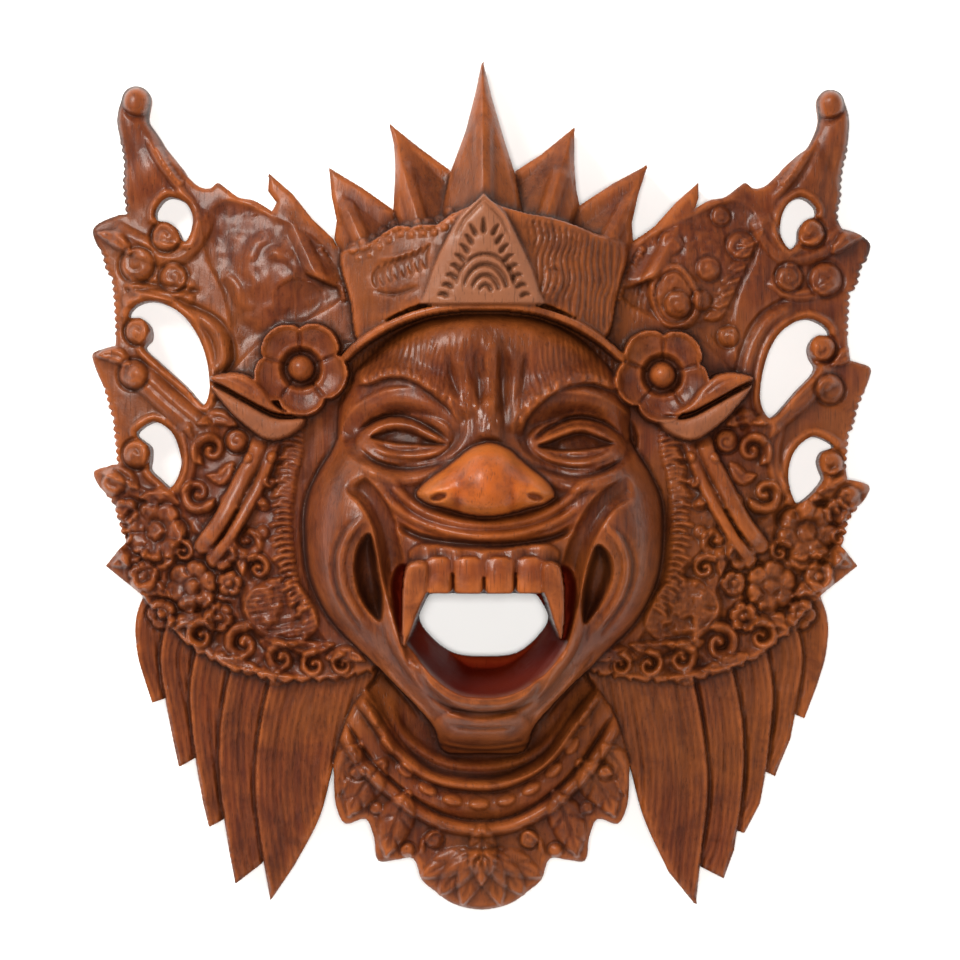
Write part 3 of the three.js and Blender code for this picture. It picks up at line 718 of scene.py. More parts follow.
def carve_horn(mask, side):
    """The smooth rolled horn: a long rounded flank with a crest, and the curl at its end."""
    spine = line(HORNS[side]["line"], side)
    part, x, y = mask.near(spine, 20.0)
    distance, _, share = trace(x, y, spine)
    widths = HORNS[side]["half_widths"]
    width = np.interp(share, np.linspace(0, 1, len(widths)), widths)
    lift = 6.0 * half_round(np.clip(distance / width, 0, 1)) * smooth(share * 2.5)
    mask.z[part] += np.where(distance < width, lift, 0.0)
    mask.ridge(line([(128, 125), (137, 135), (145, 147), (151.5, 160)], side), 2.4, 2.4, ends=0.3)
    mask.ridge(line([(126, 119), (136, 129), (145, 141), (153, 156)], side), 2.2, -0.9, ends=0.3)
    mask.ridge(line([(153, 128), (155, 138), (158, 150), (160, 160)], side), 1.8, -0.7, ends=0.3)
    for x0, y0 in line([(133, 133.5), (138, 139), (142.5, 146), (146, 152)], side, per=3)[1:-1]:
        mask.boss(x0, y0, 1.7, 1.6)
    tip = HORNS[side]["line"][-1]
    mask.boss(side * (tip[0] - 0.8), tip[1] - 0.6, 6.4, 3.0)
    mask.ridge(line([(tip[0] - 7, tip[1] - 7), (tip[0] - 1, tip[1] - 8.5), (tip[0] + 5, tip[1] - 5)], side),
               2.2, -0.9)


# Flowers and beaks ------------------------------------------------------------------------------------------

FLOWER = {"x": 80.0, "y": 51.5, "radius": 21.5, "height": 51.0, "petals": 5, "ball": 5.6}
BEAK_TOP = [(120.5, 47), (113, 49.5), (104, 48.6), (97, 43), (91, 35), (84, 31), (78, 31), (91, 31.5),
            (104, 37.5), (114, 43.2)]
BEAK_LOW = [(120, 44), (113, 41.2), (103, 35.6), (91, 29.6), (78, 29), (80, 25), (86, 21), (94, 19.6),
            (104, 25.5), (112, 33)]


def carve_flower(mask, side):
    """An open flower: petals as shallow dishes with thin rolled rims, round a ball in its cup."""
    f = FLOWER
    x0, y0 = side * f["x"], f["y"] - (3 if side > 0 else 0)
    part, x, y = mask.near([(x0, y0)], f["radius"] + 2)
    dx, dy = (x - x0) * side, y - y0
    reach, angle = np.hypot(dx, dy), np.arctan2(dy, dx) + 0.35
    petal = np.abs(np.cos(angle * f["petals"] / 2))
    rim = f["radius"] * (0.80 + 0.20 * petal**0.6)
    share = reach / rim
    dish = f["height"] - 6.5 * (1 - share**2) + 1.6 * smooth((share - 0.86) / 0.10)
    dish -= 2.4 * np.exp(-((petal / 0.16) ** 2)) * smooth(share * 2)
    dish += 0.35 * np.sin(angle * 15) * smooth(share * 1.6) * (1 - share)
    cup = np.exp(-(((reach - 7.2) / 2.0) ** 2))
    dish = dish + 1.4 * smooth(1 - np.abs(reach - 9.8) / 2.4) - 3.8 * cup
    dish = np.where(reach < f["ball"], f["height"] - 6 + 8.5 * half_round(reach / f["ball"]), dish)
    lip = half_round(np.clip((share - 0.93) / 0.07, 0, 1)) * 1.2 - 1.2
    mask.z[part] = np.where(share < 1, dish + lip * (share > 0.93), mask.z[part])


def swelling(base, rise, reach):
    """The top of a form that swells from its base height at the edge, over this reach inwards."""
    return lambda x, y, depth: base + rise * half_round(1 - np.clip(depth / reach, 0, 1))


def carve_beak(mask, side):
    """The bird's bill under the flower, its two halves parted by a dark cut."""
    mask.lay(loop(BEAK_LOW, side), swelling(48.5, 3.2, 5.5), 1.5)
    mask.lay(loop(BEAK_TOP, side), swelling(51.0, 3.2, 5.5), 1.5)
    mask.ridge(line([(120, 45), (113, 41.8), (103, 36.4), (91, 30.4), (79, 30)], side), 1.0, -2.6, ends=0.08)
    mask.ridge(line([(113, 47.6), (105, 44.5), (97, 38.5)], side), 0.8, -0.9)
    mask.paint("pale", loop(BEAK_LOW, side), 0.6, 1.5)


# The beard --------------------------------------------------------------------------------------------------


def carve_beard(mask, side):
    """Long locks, each over the next one out, cut with fine strands that follow its outer edge."""
    for lock in LOCKS:
        mask.lay(lock_outline(lock, side), lambda x, y, depth: plate(x, y) - 16.0, 0.0, over=False)
    for order, lock in enumerate(LOCKS):
        edge = lock_outline(lock, side)
        outer = np.array(on_side(curve(lock["outer"] + [lock["tip"][side]], per=8), side))
        low, high = lock["tip"][side][1], lock["outer"][0][1]
        smooth_lock = side > 0 and order == 0

        def top(x, y, depth):
            aside, _, _ = trace(x, y, outer)
            down = np.clip((high - y) / (high - low), 0, 1)
            body = plate(x, y) - 5.0 + 0.6 * order - 2.0 * down + 3.4 * np.exp(-aside / 6.0)
            if smooth_lock:
                return body + 1.0
            waver = 0.9 * patches(x, y * 0.25, 7.0, 60 + order)
            strands = 1.15 * (np.abs(np.sin(np.pi * (aside + waver) / 2.9)) ** 0.6 - 1.0)
            deep = 1.5 * (np.abs(np.sin(np.pi * (aside + 2 * waver) / 9.5)) ** 0.35 - 1.0)
            return body + strands + deep

        mask.lay(edge, top, 1.3)
        if order:
            part, x, y = mask.near(edge, 3.0)
            past = beyond(x, y, edge)
            mask.z[part] -= 1.6 * np.exp(-(((past - 0.8) / 0.9) ** 2)) * (past > 0)


# The crown --------------------------------------------------------------------------------------------------

BAND = {
    -1: [(0, 82), (-22, 80.2), (-41, 72.5), (-54.5, 63.5), (-58, 80), (-62.5, 103), (-53, 105), (-47, 108.5),
         (-42, 112), (-37, 114.4), (-31, 113.4), (-26, 114.5), (-20, 114.4), (-14, 118.5), (-6, 122),
         (0, 124)],
    1: [(0, 82), (22, 80.4), (41, 73), (54.5, 64.5), (60, 84), (64.5, 106.5), (52, 110.5), (42, 114.5),
        (31, 117.5), (20, 119.4), (10, 122), (0, 124)],
}
BAND_RIM = [(-60, 56.5), (-54, 62), (-41, 70), (-26, 75.6), (-12, 77.8), (0, 78.4), (13, 78), (26, 76),
            (41, 70.6), (53, 63.4), (62, 56)]
BAND_SCALLOPS = [(-57, 104.6), (-52, 106), (-47.4, 109), (-43, 112), (-38, 114.4), (-33, 114), (-28, 114.6),
                 (-23, 114.8), (-18.4, 117), (-14.4, 120)]
PLAQUE = [(28, 79), (25.6, 84), (22.5, 94), (19.3, 101), (15, 110), (10.5, 118.5), (5, 124), (1, 127.6),
          (-3, 124), (-9, 118.5), (-14, 110), (-18.6, 101), (-21.5, 94), (-24.6, 84), (-27, 79)]
PLAQUE_CENTRE = (1.6, 84.0)


def crown_height(x, y):
    return 74.5 - 0.0075 * x * x - 5.0 * smooth((y - 82) / 36)


def carve_spike(mask, edge, tip, root, heights):
    """A pointed blade: two flat facets from a sharp ridge, with a narrow bevel round its edge."""
    ridge = np.array([root, tip], float)

    def top(x, y, depth):
        aside, hand, share = trace(x, y, ridge)
        crest = heights[0] + (heights[1] - heights[0]) * share
        inner = smooth((0.72 - share) / 0.1) * np.clip(5.0 - aside * 1.1, 0, 1.5)
        return crest - 0.62 * aside + inner + 1.2 * np.clip((depth - 2.4) / 2.0, -1, 0)

    mask.lay(edge, top, 0.8)


def carve_crown(mask):
    for side in SIDES:
        for index in (2, 1, 0):
            spike = SPIKES[side][index]
            edge = np.array(on_side(spike["edge"], side))
            root = (side * spike["root"][0], spike["root"][1])
            carve_spike(mask, edge, edge[0], root, SPIKE_HEIGHTS[index])
    spike = MIDDLE_SPIKE
    carve_spike(mask, np.array(spike["edge"]), spike["edge"][0], spike["root"], spike["heights"])
    carve_band(mask)
    carve_plaque(mask)


def carve_band(mask):
    """The band: scalloped and leaf-cut on the left, cut with upright lines on the right, over a thin rim."""
    for side in SIDES:
        band = curve(BAND[side], closed=True, per=4)
        mask.lay(band, lambda x, y, depth: crown_height(x, y), 1.6, over=False)
    for index, (x, y) in enumerate(BAND_SCALLOPS):
        mask.boss(x, y, 2.7 + 0.5 * math.sin(index * 2.1), 2.2)
        mask.boss(x + 2.2, y - 4.2, 1.7, 1.2)
    for index in range(8):
        x, y = -46 + index * 3.1, 86.5 + index * 1.2
        mask.leaf(curve([(x, y), (x - 1.0, y + 5), (x + 1.2, y + 10)], per=6), 1.5, -2.6)
    mask.ridge(curve([(-49, 86), (-39, 83.5), (-27, 87)], per=6), 1.1, -1.8)
    mask.ridge(curve([(-48, 99), (-38, 100), (-26, 103)], per=6), 1.4, 1.4)
    uprights = curve([(27, 80), (44, 72), (55, 67), (63.5, 104), (50, 109.5), (34, 115), (20, 117),
                      (22, 100)], closed=True)
    mask.hatch(uprights, 85, 2.7, 1.9, waver=1.5, seed=73)
    mask.hatch(curve([(18, 116), (24, 102), (44, 100), (40, 114), (24, 119)], closed=True), 60, 2.2, 0.8,
               seed=74)
    mask.bumps(curve([(27, 82), (33, 81), (36, 90), (33, 99), (28, 95)], closed=True), 3.6, 1.8, 1.5, seed=75)
    mask.bar(curve(BAND_RIM, per=8), 2.0, lambda x, y: 73.0 - 0.0045 * x * x, ends=0.04)


def plaque_drops():
    """The plaque's curved cuts: one upright at the top, then a fan of drops down each side."""
    drops = [[(0.9, 110.4), (0.9, 113.4), (0.9, 116.6)]]
    for side in SIDES:
        for index in range(8):
            x, y = 1.2 + side * (4.8 + index * 1.85), 112.6 - index * 4.05
            length = 5.0 - 0.16 * index
            lean = math.radians(58 - index * 8)
            out = (x + side * length * math.cos(lean) * 0.62, y + length * math.sin(lean) * 0.62 - 1.6)
            inner = (x - side * length * math.cos(lean) * 0.38, y - length * math.sin(lean) * 0.38 - 1.6)
            middle = ((out[0] + inner[0]) / 2 + side * 0.2, (out[1] + inner[1]) / 2 + 0.9)
            drops.append([inner, middle, out])
    return drops


def carve_plaque(mask):
    edge = np.array(PLAQUE)
    mask.lay(edge, lambda x, y, depth: crown_height(x, y * 0 + 84) + 2.0 + 0.8 * smooth(depth / 7), 1.0,
             over=False)
    border = np.array([(x * 0.84 + 0.2, 79 + (y - 79) * 0.935) for x, y in PLAQUE[4:-4]])
    mask.ridge(border, 0.8, -1.6, ends=0.1)
    for drop in plaque_drops():
        mask.leaf_cut(curve(drop, per=6), 1.25, 3.2)
    for radius, half_width in ((16.0, 1.0), (11.6, 1.5), (7.2, 1.3), (3.2, 1.2)):
        angles = np.radians(np.linspace(14, 166, 18))
        arch = np.column_stack([PLAQUE_CENTRE[0] + radius * 0.82 * np.cos(angles),
                                PLAQUE_CENTRE[1] + radius * 1.05 * np.sin(angles)])
        mask.leaf_cut(arch, half_width, 3.0)
    mask.paint("pale", edge, 1.0, 1.0)


# The throat -------------------------------------------------------------------------------------------------

COLLAR_TOP = [(-58, -90), (-48.5, -103), (-37.4, -119), (-23.7, -129.5), (-8, -133.4), (9, -133),
              (28.9, -122.5), (42.7, -104), (56, -88)]
COLLAR_FOOT = [(-68, -100), (-60.8, -112.2), (-52.6, -124.6), (-34.7, -141), (-18, -150.6), (-1.6, -153.6),
               (14, -151.5), (28, -144.5), (45.4, -128.7), (58, -110), (66, -98)]
BEADS = {"count": 11, "sweep": 68.0, "radius_x": 50.5, "radius_y": 62.0, "centre_y": -80.0}
PETALS = [
    {"points": [(44, -124), (54, -136), (59, -147)], "half_width": 8.5, "rise": 5.0, "veins": 3},
    {"points": [(33, -138), (39, -152), (42.5, -165)], "half_width": 8.0, "rise": 5.0, "veins": 3},
    {"points": [(54, -116), (62, -126), (64, -138)], "half_width": 6.0, "rise": 4.0, "veins": 2},
]


def carve_throat(mask):
    """The neck, the beaded collar, its leaves, and the palmette under them."""
    neck = curve(mirrored([(0, -132), (24, -127), (44, -102), (54, -84), (40, -70), (0, -70)]), closed=True)
    mask.pad(neck, -9.0, 14.0)
    fold = [(-44, -92), (-34, -112), (-18, -123.5), (2, -126), (22, -121), (36, -107), (44, -92)]
    mask.ridge(curve(fold, per=8), 2.6, 3.0, ends=0.2)
    for side in SIDES:
        for petal in PETALS:
            mask.leaf(line(petal["points"], side), petal["half_width"], petal["rise"], petal["veins"])
        mask.boss(side * 55, -128, 3.4, 3.2, 1.0, hand=side)
        mask.boss(side * 33, -163, 3.4, 3.4, 1.1, hand=-side)
        mask.boss(side * 47, -144, 3.0, 2.6, 1.0, hand=side)
    carve_palmette(mask)
    mask.ridge(curve(COLLAR_TOP, per=8), 3.0, 7.0, ends=0.1, power=0.8)
    mask.ridge(curve([(x * 1.10, y * 1.05 - 2) for x, y in COLLAR_TOP], per=8), 5.4, 3.0, ends=0.1)
    mask.ridge(curve(COLLAR_FOOT, per=8), 3.4, 6.0, ends=0.1, power=0.8)
    mask.ridge(curve([(x * 0.95, y * 0.975) for x, y in COLLAR_FOOT], per=8), 0.9, -2.2, ends=0.1)
    carve_beads(mask)


def carve_beads(mask):
    b = BEADS
    for index in range(b["count"]):
        angle = math.radians((index / (b["count"] - 1) - 0.5) * 2 * b["sweep"])
        x = b["radius_x"] * math.sin(angle) - 1
        y = b["centre_y"] - b["radius_y"] * math.cos(angle)
        bead = ring(x, y, 4.6, 2.7, turn=math.degrees(angle), steps=14)
        mask.pad(bead, 3.0, 1.8)


def carve_palmette(mask):
    """A fan of five lobes round a central leaf."""
    fan = [(0, -190), (13, -187.2), (21, -181.5), (26.6, -176.6), (29, -164), (20, -153), (0, -150)]
    mask.pad(curve(mirrored(fan), closed=True), 1.0, 5.0)
    for angle in (-62, -38, -16, 16, 38, 62):
        lean = math.radians(angle)
        start, end = (4 * math.sin(lean), -164), (30 * math.sin(lean), -163 - 25 * math.cos(lean))
        middle = ((start[0] + end[0]) / 2 + 1.5 * math.sin(lean), (start[1] + end[1]) / 2)
        mask.leaf(curve([start, middle, end], per=8), 6.2, 3.4, 2)
    mask.leaf(curve([(0, -152), (0.5, -164), (0, -178)], per=8), 6.6, 4.6, 4)
    for side in SIDES:
        mask.boss(side * 21, -158, 4.2, 3.4, 1.3, hand=side)
        mask.ridge(line([(27, -166), (25.5, -158), (20, -154), (15, -157)], side), 1.5, 3.0)


# The face ---------------------------------------------------------------------------------------------------

FACE = [(1, -120), (19, -119), (23, -108), (31, -98), (43, -86), (54, -75), (68, -61), (78, -42), (80.5, -25),
        (80, -8), (75, 4), (66, 20), (67, 44), (60, 62), (42, 70.5), (24, 77)]
BROWS = {
    -1: {"area": [(-60, 47), (-50, 45.6), (-42, 48.4), (-34, 48.4), (-25, 44), (-17.8, 38.4), (-12.4, 33.6),
                  (-13, 42), (-16, 54), (-19, 63), (-34, 68), (-50, 64), (-58, 58)],
         "edge": [(-58, 45), (-50, 45.4), (-42, 48), (-34, 48), (-25, 43.8), (-17.8, 38), (-12.4, 33.2),
                  (-9, 27)],
         "strokes": 83},
    1: {"area": [(17.5, 24), (20, 31), (27.2, 38.6), (36.2, 44), (48.8, 46), (57.8, 44), (63, 46), (62, 56),
                 (54, 63), (38, 67), (27, 64), (22, 52), (17, 38)],
        "edge": [(15.5, 20), (19, 29.6), (27.2, 38.2), (36.2, 43.8), (48.8, 45.8), (57.8, 43.4), (64, 44)],
        "strokes": 97},
}
EYES = {
    -1: {"fold": [(-57, 27), (-50, 33), (-41, 37.4), (-31, 37.2), (-21, 32.4), (-12.5, 25.5), (-7, 18)],
         "crease": [(-55, 22.6), (-48, 28), (-40, 30.4), (-32, 29.6), (-23.5, 25.6), (-14, 19)],
         "rim": [(-52, 20.6), (-45.5, 25), (-38.5, 26.6), (-31, 25.6), (-23, 21.8), (-14.5, 17.4)],
         "open": [(-49, 20.8), (-44.5, 23), (-38.5, 24.2), (-31.4, 23.4), (-23.6, 20), (-15.6, 17.4),
                  (-22, 17.0), (-31, 17.4), (-40, 18.2)],
         "low": [(-51, 19), (-43, 14.6), (-33, 12.8), (-23, 13.4), (-13, 16)],
         "bag": [(-56, 18), (-47, 10.6), (-35, 7), (-23, 8), (-12, 12)], "ball": (-34, 20)},
    1: {"fold": [(19, 24), (24, 30.4), (33, 36), (44, 38.4), (55, 35), (63, 27)],
        "crease": [(21.6, 18.6), (30.4, 25.4), (43, 29.8), (54.6, 27), (63, 20)],
        "rim": [(23.6, 16.8), (33.4, 22), (43.4, 25), (52.6, 22.6), (60, 18)],
        "open": [(24.6, 16.8), (33.4, 20.4), (43.4, 23), (52, 20.8), (58.6, 18), (52, 16.0), (42.4, 14.6),
                 (32.6, 14.8)],
        "low": [(22, 15.6), (31, 11.2), (42, 9.4), (53, 12), (61, 16.6)],
        "bag": [(20, 10.6), (30, 6.2), (42, 3.6), (54, 6.6), (64, 13)], "ball": (42, 18)},
}
NOSE = [(-28.5, -4.2), (-26.8, -1.2), (-22, 3), (-16, 7.2), (-10, 12), (-4.6, 16), (3.4, 18.2), (12.4, 15.2),
        (17, 11), (21.8, 7), (29.2, 0.6), (32, -4.6), (28, -8), (20.4, -10.2), (12, -12.6), (2, -13.8),
        (-8, -12.6), (-16, -10.2), (-24, -8)]
FOLDS = [
    {"points": [(-42, 5), (-36, -3), (-27, -11), (-12, -16.2), (2, -17.4), (19, -15.6), (32, -10.4),
                (42, -2), (48, 6)],
     "half_width": 2.7, "rise": 3.6},
    {"points": [(-43, -3), (-35, -11.5), (-25, -17), (-10, -21), (4, -22), (20, -20.2), (34, -15), (45, -7)],
     "half_width": 2.6, "rise": 3.4},
    {"points": [(-40, -14), (-34, -19.4), (-25, -23.4), (-10, -25.6), (5, -26.4), (20, -25.4), (34, -22),
                (43, -16)],
     "half_width": 2.0, "rise": -4.6},
]
TEETH = [-24.6, -12.4, 1.1, 14.6, 27.2]
TOOTH_TOP, TOOTH_FOOT = -33.0, -47.8
FANGS = {
    -1: [(-24, -33.6), (-31.5, -34), (-34, -40), (-34.6, -50), (-34.8, -60), (-33.6, -70.5), (-31, -66),
         (-28.6, -59), (-25.6, -52), (-23.6, -47)],
    1: [(27, -33.6), (33.4, -34.6), (35.6, -41), (36.4, -52), (36, -61), (34.6, -68), (32.4, -64), (30, -57),
        (28.2, -51), (26.6, -47)],
}
BASIN = [(0, -40), (26, -36), (38, -36), (41.4, -44), (40.4, -56), (37, -69), (30, -80), (19, -88.5),
         (10, -92), (0, -92.8), (-9, -91.6), (-20, -84.5), (-29, -74), (-36, -64), (-39, -52), (-39.4, -42),
         (-36, -35), (-24, -36)]
LIP = [(-41.5, -54), (-37, -68), (-31, -77.5), (-22.5, -87), (-12, -93.6), (1, -95.4), (13, -94.4),
       (24, -88.5), (32, -79), (38.6, -69), (43, -55)]
UNDER_LIP = [(-31, -76.5), (-21.5, -91), (-8, -99.6), (8, -99.8), (21.5, -93), (30.5, -78)]
CHIN = [(-22, -107), (-13.5, -112), (1, -113), (15.5, -112.3), (22, -107.6), (18, -101), (1, -99.6),
        (-17, -100.6)]
SMILE = {
    -1: [(-60, 1.5), (-57.6, -2.5), (-52, -7.9), (-46.8, -16.9), (-44, -29.5), (-41.4, -43.9), (-37.6, -58),
         (-34, -70), (-30, -82)],
    1: [(68.6, -4), (63, -6.4), (57, -10.4), (49, -22.3), (44, -36.7), (41.4, -51), (38, -64), (33, -79)],
}
SLOTS = {
    -1: [(-49, -21), (-53.6, -26), (-55.6, -35), (-54.4, -46), (-50, -55), (-44.6, -60), (-43, -51),
         (-45, -38), (-46.4, -28)],
    1: [(50.6, -26), (55.5, -30), (57.4, -38), (55, -47), (50.6, -55), (45, -61), (43.8, -51), (45.6, -40),
        (47.6, -32)],
}
SLOT_GROOVES = {
    -1: [(-47, -12), (-55, -18), (-61, -30), (-60.5, -44), (-55, -56), (-47, -67)],
    1: [(50, -16), (58, -22), (63, -34), (61, -47), (54, -59), (45, -69)],
}
FACETS = [
    ([(-10, 58), (-8, 46), (-5, 36), (-4, 28)], 4.0, 2.4), ([(3, 66), (4, 50), (4, 38), (3, 29)], 3.8, 2.4),
    ([(14, 62), (15, 48), (14, 36), (12, 27)], 3.4, 2.0), ([(-15, 60), (-13.5, 48), (-10.5, 37)], 1.8, -1.3),
    ([(-3.2, 62), (-2.4, 50), (-1, 38), (0, 30)], 1.8, -1.2),
    ([(9, 64), (9.4, 50), (9, 38), (8, 28)], 2.4, -1.9),
    ([(20, 60), (18.5, 48), (16, 36)], 1.8, -1.2), ([(2, 40), (3, 32), (3, 24), (2.5, 17)], 7.0, 4.0),
]
MOUTH_FLOOR = 36.0


def face_surface(x, y):
    """The face with its muzzle drawn out over the mouth and its forehead running up under the crown."""
    upper_lip = 4 * mound(x, y, 1, -26, 52, 26)
    forehead = 5 * mound(np.abs(x - 4), y, 30, 56, 34, 26) + 19 * mound(x, y, 3, 80, 66, 34)
    jaw = 1.5 * mound(x, y, 1, -100, 40, 34)
    return face_dome(x, y) + upper_lip + forehead + jaw


def carve_face(mask):
    outline = curve(FACE + [(2 - x, y) for x, y in reversed(FACE[1:])], closed=True, per=5)
    mask.lay(outline, lambda x, y, depth: face_surface(x, y) + 3.0, 11.0)
    rim = curve([(2 - x, y) for x, y in FACE[5:12]], per=6)
    for edge in (rim, curve(FACE[5:12], per=6)):
        mask.ridge(edge, 2.2, -1.5, ends=0.15)
    carve_brows(mask)
    carve_eyes(mask)
    carve_cheeks(mask)
    carve_mouth(mask)
    carve_nose(mask)
    carve_chin(mask)


def carve_brows(mask):
    """Brows hatched with upright strokes over a sharp ragged edge, and the facets between them."""
    for side in SIDES:
        brow = BROWS[side]
        area = curve(brow["area"], closed=True)
        mask.pad(area, 1.6, 7.0, power=1.0)
        mask.hatch(area, brow["strokes"], 2.3, 1.3, edge=2.0, waver=1.6, seed=81)
        edge = curve(brow["edge"], per=8)
        mask.brow(edge, 5.0, 9.0, 1.6, ends=0.12, side=1)
        for index, (x0, y0) in enumerate(edge[6:-8:4]):
            stroke = np.array([(x0 - 0.7, y0 + 3.4), (x0 + 0.5 * math.sin(index * 2.7),
                                                      y0 - 1.6 - 0.8 * math.sin(index * 1.9))])
            mask.ridge(stroke, 1.3, 1.5, ends=0.3)
    for points, half_width, rise in FACETS:
        mask.ridge(curve(points, per=8), half_width, rise)
    mask.hatch(curve([(-16, 66), (24, 66), (18, 44), (13, 26), (-8, 26), (-13, 40)], closed=True), 88, 3.1,
               0.5, waver=2.0)
    mask.paint("dark", curve([(7, 66), (14, 62), (13.5, 44), (14, 24), (9, 22), (7.5, 44)], closed=True),
               0.35, 2.0)
    mask.paint("gloss", curve([(-15, 60), (4, 62), (7, 42), (6, 26), (-8, 26), (-14, 42)], closed=True),
               1.0, 3.0)


def carve_eyes(mask):
    """Laughing eyes: a full fold under the brow, a creased lid, a narrow opening, and a bag below."""
    for side in SIDES:
        eye = EYES[side]
        x0, y0 = eye["ball"]
        mask.pad(ring(x0, y0 + 4, 28, 18, turn=side * -8), -4.0, 10.0)
        mask.pad(ring(x0, y0, 22, 11, turn=side * -5), 5.5, 11.0)
        mask.ridge(curve(eye["fold"], per=8), 5.6, 4.2, ends=0.25)
        mask.ridge(curve(eye["crease"], per=8), 1.3, -3.6, ends=0.15)
        mask.ridge(curve(eye["rim"], per=8), 1.7, 2.2, ends=0.2)
        opening = curve(eye["open"], closed=True)
        mask.pad(opening, -3.6, 1.4)
        mask.pad(ring(x0 + side * 0.5, y0 - 0.6, 8.5, 4.6), 1.8, 4.0)
        mask.ridge(curve(eye["low"], per=8), 2.0, 2.4, ends=0.25)
        mask.ridge(curve(eye["bag"], per=8), 1.4, -3.0, ends=0.2)
        mask.ridge(curve(eye["bag"], per=8) + np.array([0.0, -4.6]), 3.2, 2.6, ends=0.25)
        # Painted shade: the narrow eye opening is darkened as if shadowed.
        mask.paint("dark", opening, 0.7, 0.8)
        corner = (x0 + side * 21, y0 + 1)
        for lean in (-16, 2, 20):
            turn = math.radians(lean)
            reach = (corner[0] + side * 8 * math.cos(turn), corner[1] + 8 * math.sin(turn))
            mask.ridge(np.array([corner, reach]), 1.0, -1.3, ends=0.5)


def carve_cheeks(mask):
    """Round cheeks, the sharp fold of the smile, and the long dimples cut beside it."""
    for side in SIDES:
        smile = curve(SMILE[side], per=8)
        mask.brow(smile, -7.5, 2.2, 9.0, ends=0.10, side=side)
        mask.brow(smile + np.array([side * 0.6, 0.0]), 3.4, 4.0, 1.2, ends=0.12, side=-side)
        slot = curve(SLOTS[side], closed=True, per=5)
        mask.pad(slot, -12.0, 4.4, power=0.6)
        # Painted shade: the deep dimple is darkened as if shadowed.
        mask.paint("dark", slot, 0.35, 2.5)
        mask.ridge(curve(SLOT_GROOVES[side], per=8), 2.4, 2.4, ends=0.25)
        mask.ridge(curve(SLOT_GROOVES[side], per=8) + np.array([side * 3.4, 0]), 1.5, -1.8, ends=0.3)


def carve_mouth(mask):
    """The open mouth: gum, teeth and fangs above, a rolled lip below, and a hole through the back."""
    for fold in FOLDS:
        mask.ridge(curve(fold["points"], per=8), fold["half_width"], fold["rise"], ends=0.12)
    basin = curve(BASIN, closed=True, per=5)
    part, x, y = mask.near(basin, 2.0)
    depth = np.clip(-beyond(x, y, basin), 0.0, None)
    cut = np.clip(depth / 11.0, 0.0, 1.0) ** 0.7
    mask.z[part] = np.where(depth > 0, mask.z[part] * (1 - cut) + MOUTH_FLOOR * cut, mask.z[part])
    mask.paint("red", basin, 1.0, 1.2)
    gum = [(-27, -26), (1, -28.5), (29, -26), (34, -30), (30, -36.5), (1, -36.5), (-28, -36.5), (-32, -30)]
    gum = curve(gum, closed=True)
    mask.wipe("red", gum)
    mask.lay(gum, lambda x, y, depth: 89.0 - 0.006 * (x - 1) ** 2 + 1.6 * np.cos((x - 1) * np.pi / 6.3), 2.5)
    for left, right in zip(TEETH[:-1], TEETH[1:]):
        carve_tooth(mask, left, right)
    for side in SIDES:
        fang = curve(FANGS[side], closed=True, per=5)
        mask.lay(fang, fang_top, 2.2)
        mask.wipe("red", fang)
    lip = curve(LIP, per=8)
    mask.ridge(lip, 4.4, 4.6, ends=0.12, power=0.8)
    mask.ridge(lip * np.array([0.93, 0.955]) + np.array([0.0, -3.2]), 1.0, -1.2, ends=0.2)


def fang_top(x, y, depth):
    return 91.5 + 0.12 * (y + 34) + 1.6 * half_round(1 - np.clip(depth / 3.5, 0, 1))


def carve_tooth(mask, left, right):
    """One flat square tooth with softened corners, a little fuller in its middle."""
    inset = 0.15
    middle = (left + right) / 2
    edge = np.array([(left + inset, TOOTH_TOP), (left + inset, TOOTH_FOOT + 1.2),
                     (left + inset + 1.4, TOOTH_FOOT), (right - inset - 1.4, TOOTH_FOOT),
                     (right - inset, TOOTH_FOOT + 1.2), (right - inset, TOOTH_TOP),
                     (middle + 2.5, TOOTH_TOP + 1.6), (middle - 2.5, TOOTH_TOP + 1.6)])

    def top(x, y, depth):
        return 92.5 - 0.006 * (middle - 1) ** 2 - 0.05 * (x - middle) ** 2 + 0.05 * (TOOTH_TOP - y)

    mask.lay(edge, top, 0.9, over=False)
    mask.wipe("red", edge)
    mask.paint("warm", edge, 0.3, 0.8)


def carve_nose(mask):
    """The broad nose, polished paler than the rest: a three-lobed pad with two small nostrils."""
    pad = curve(NOSE, closed=True, per=5)
    mask.ridge(pad, 2.2, -1.2, ends=0)

    def top(x, y, depth):
        wings = 5.0 * mound(np.abs(x - 1.5), y, 20, -3, 12, 11)
        tip = 10.0 * mound(x, y, 2, 1, 18, 22)
        crease = -1.8 * np.exp(-(((np.abs(x - 1.5) - 12) / 2.2) ** 2)) * smooth((5 - y) / 10)
        body = 10.0 * half_round(1 - np.clip(depth / 13, 0, 1))
        return face_surface(x, y) + 9.0 + body + wings + tip + crease

    mask.lay(pad, top, 4.5)
    for x, turn in ((-18.7, 14), (23.4, -14)):
        mask.pad(ring(x, -5.4, 3.8, 1.8, turn=turn, steps=16), -4.5, 1.6)
    mask.paint("warm", pad, 1.0, 1.6)
    mask.paint("warm", curve([(-34, -9), (1, -14), (40, -8), (44, -16), (1, -24), (-38, -18)], closed=True),
               0.3, 3.0)


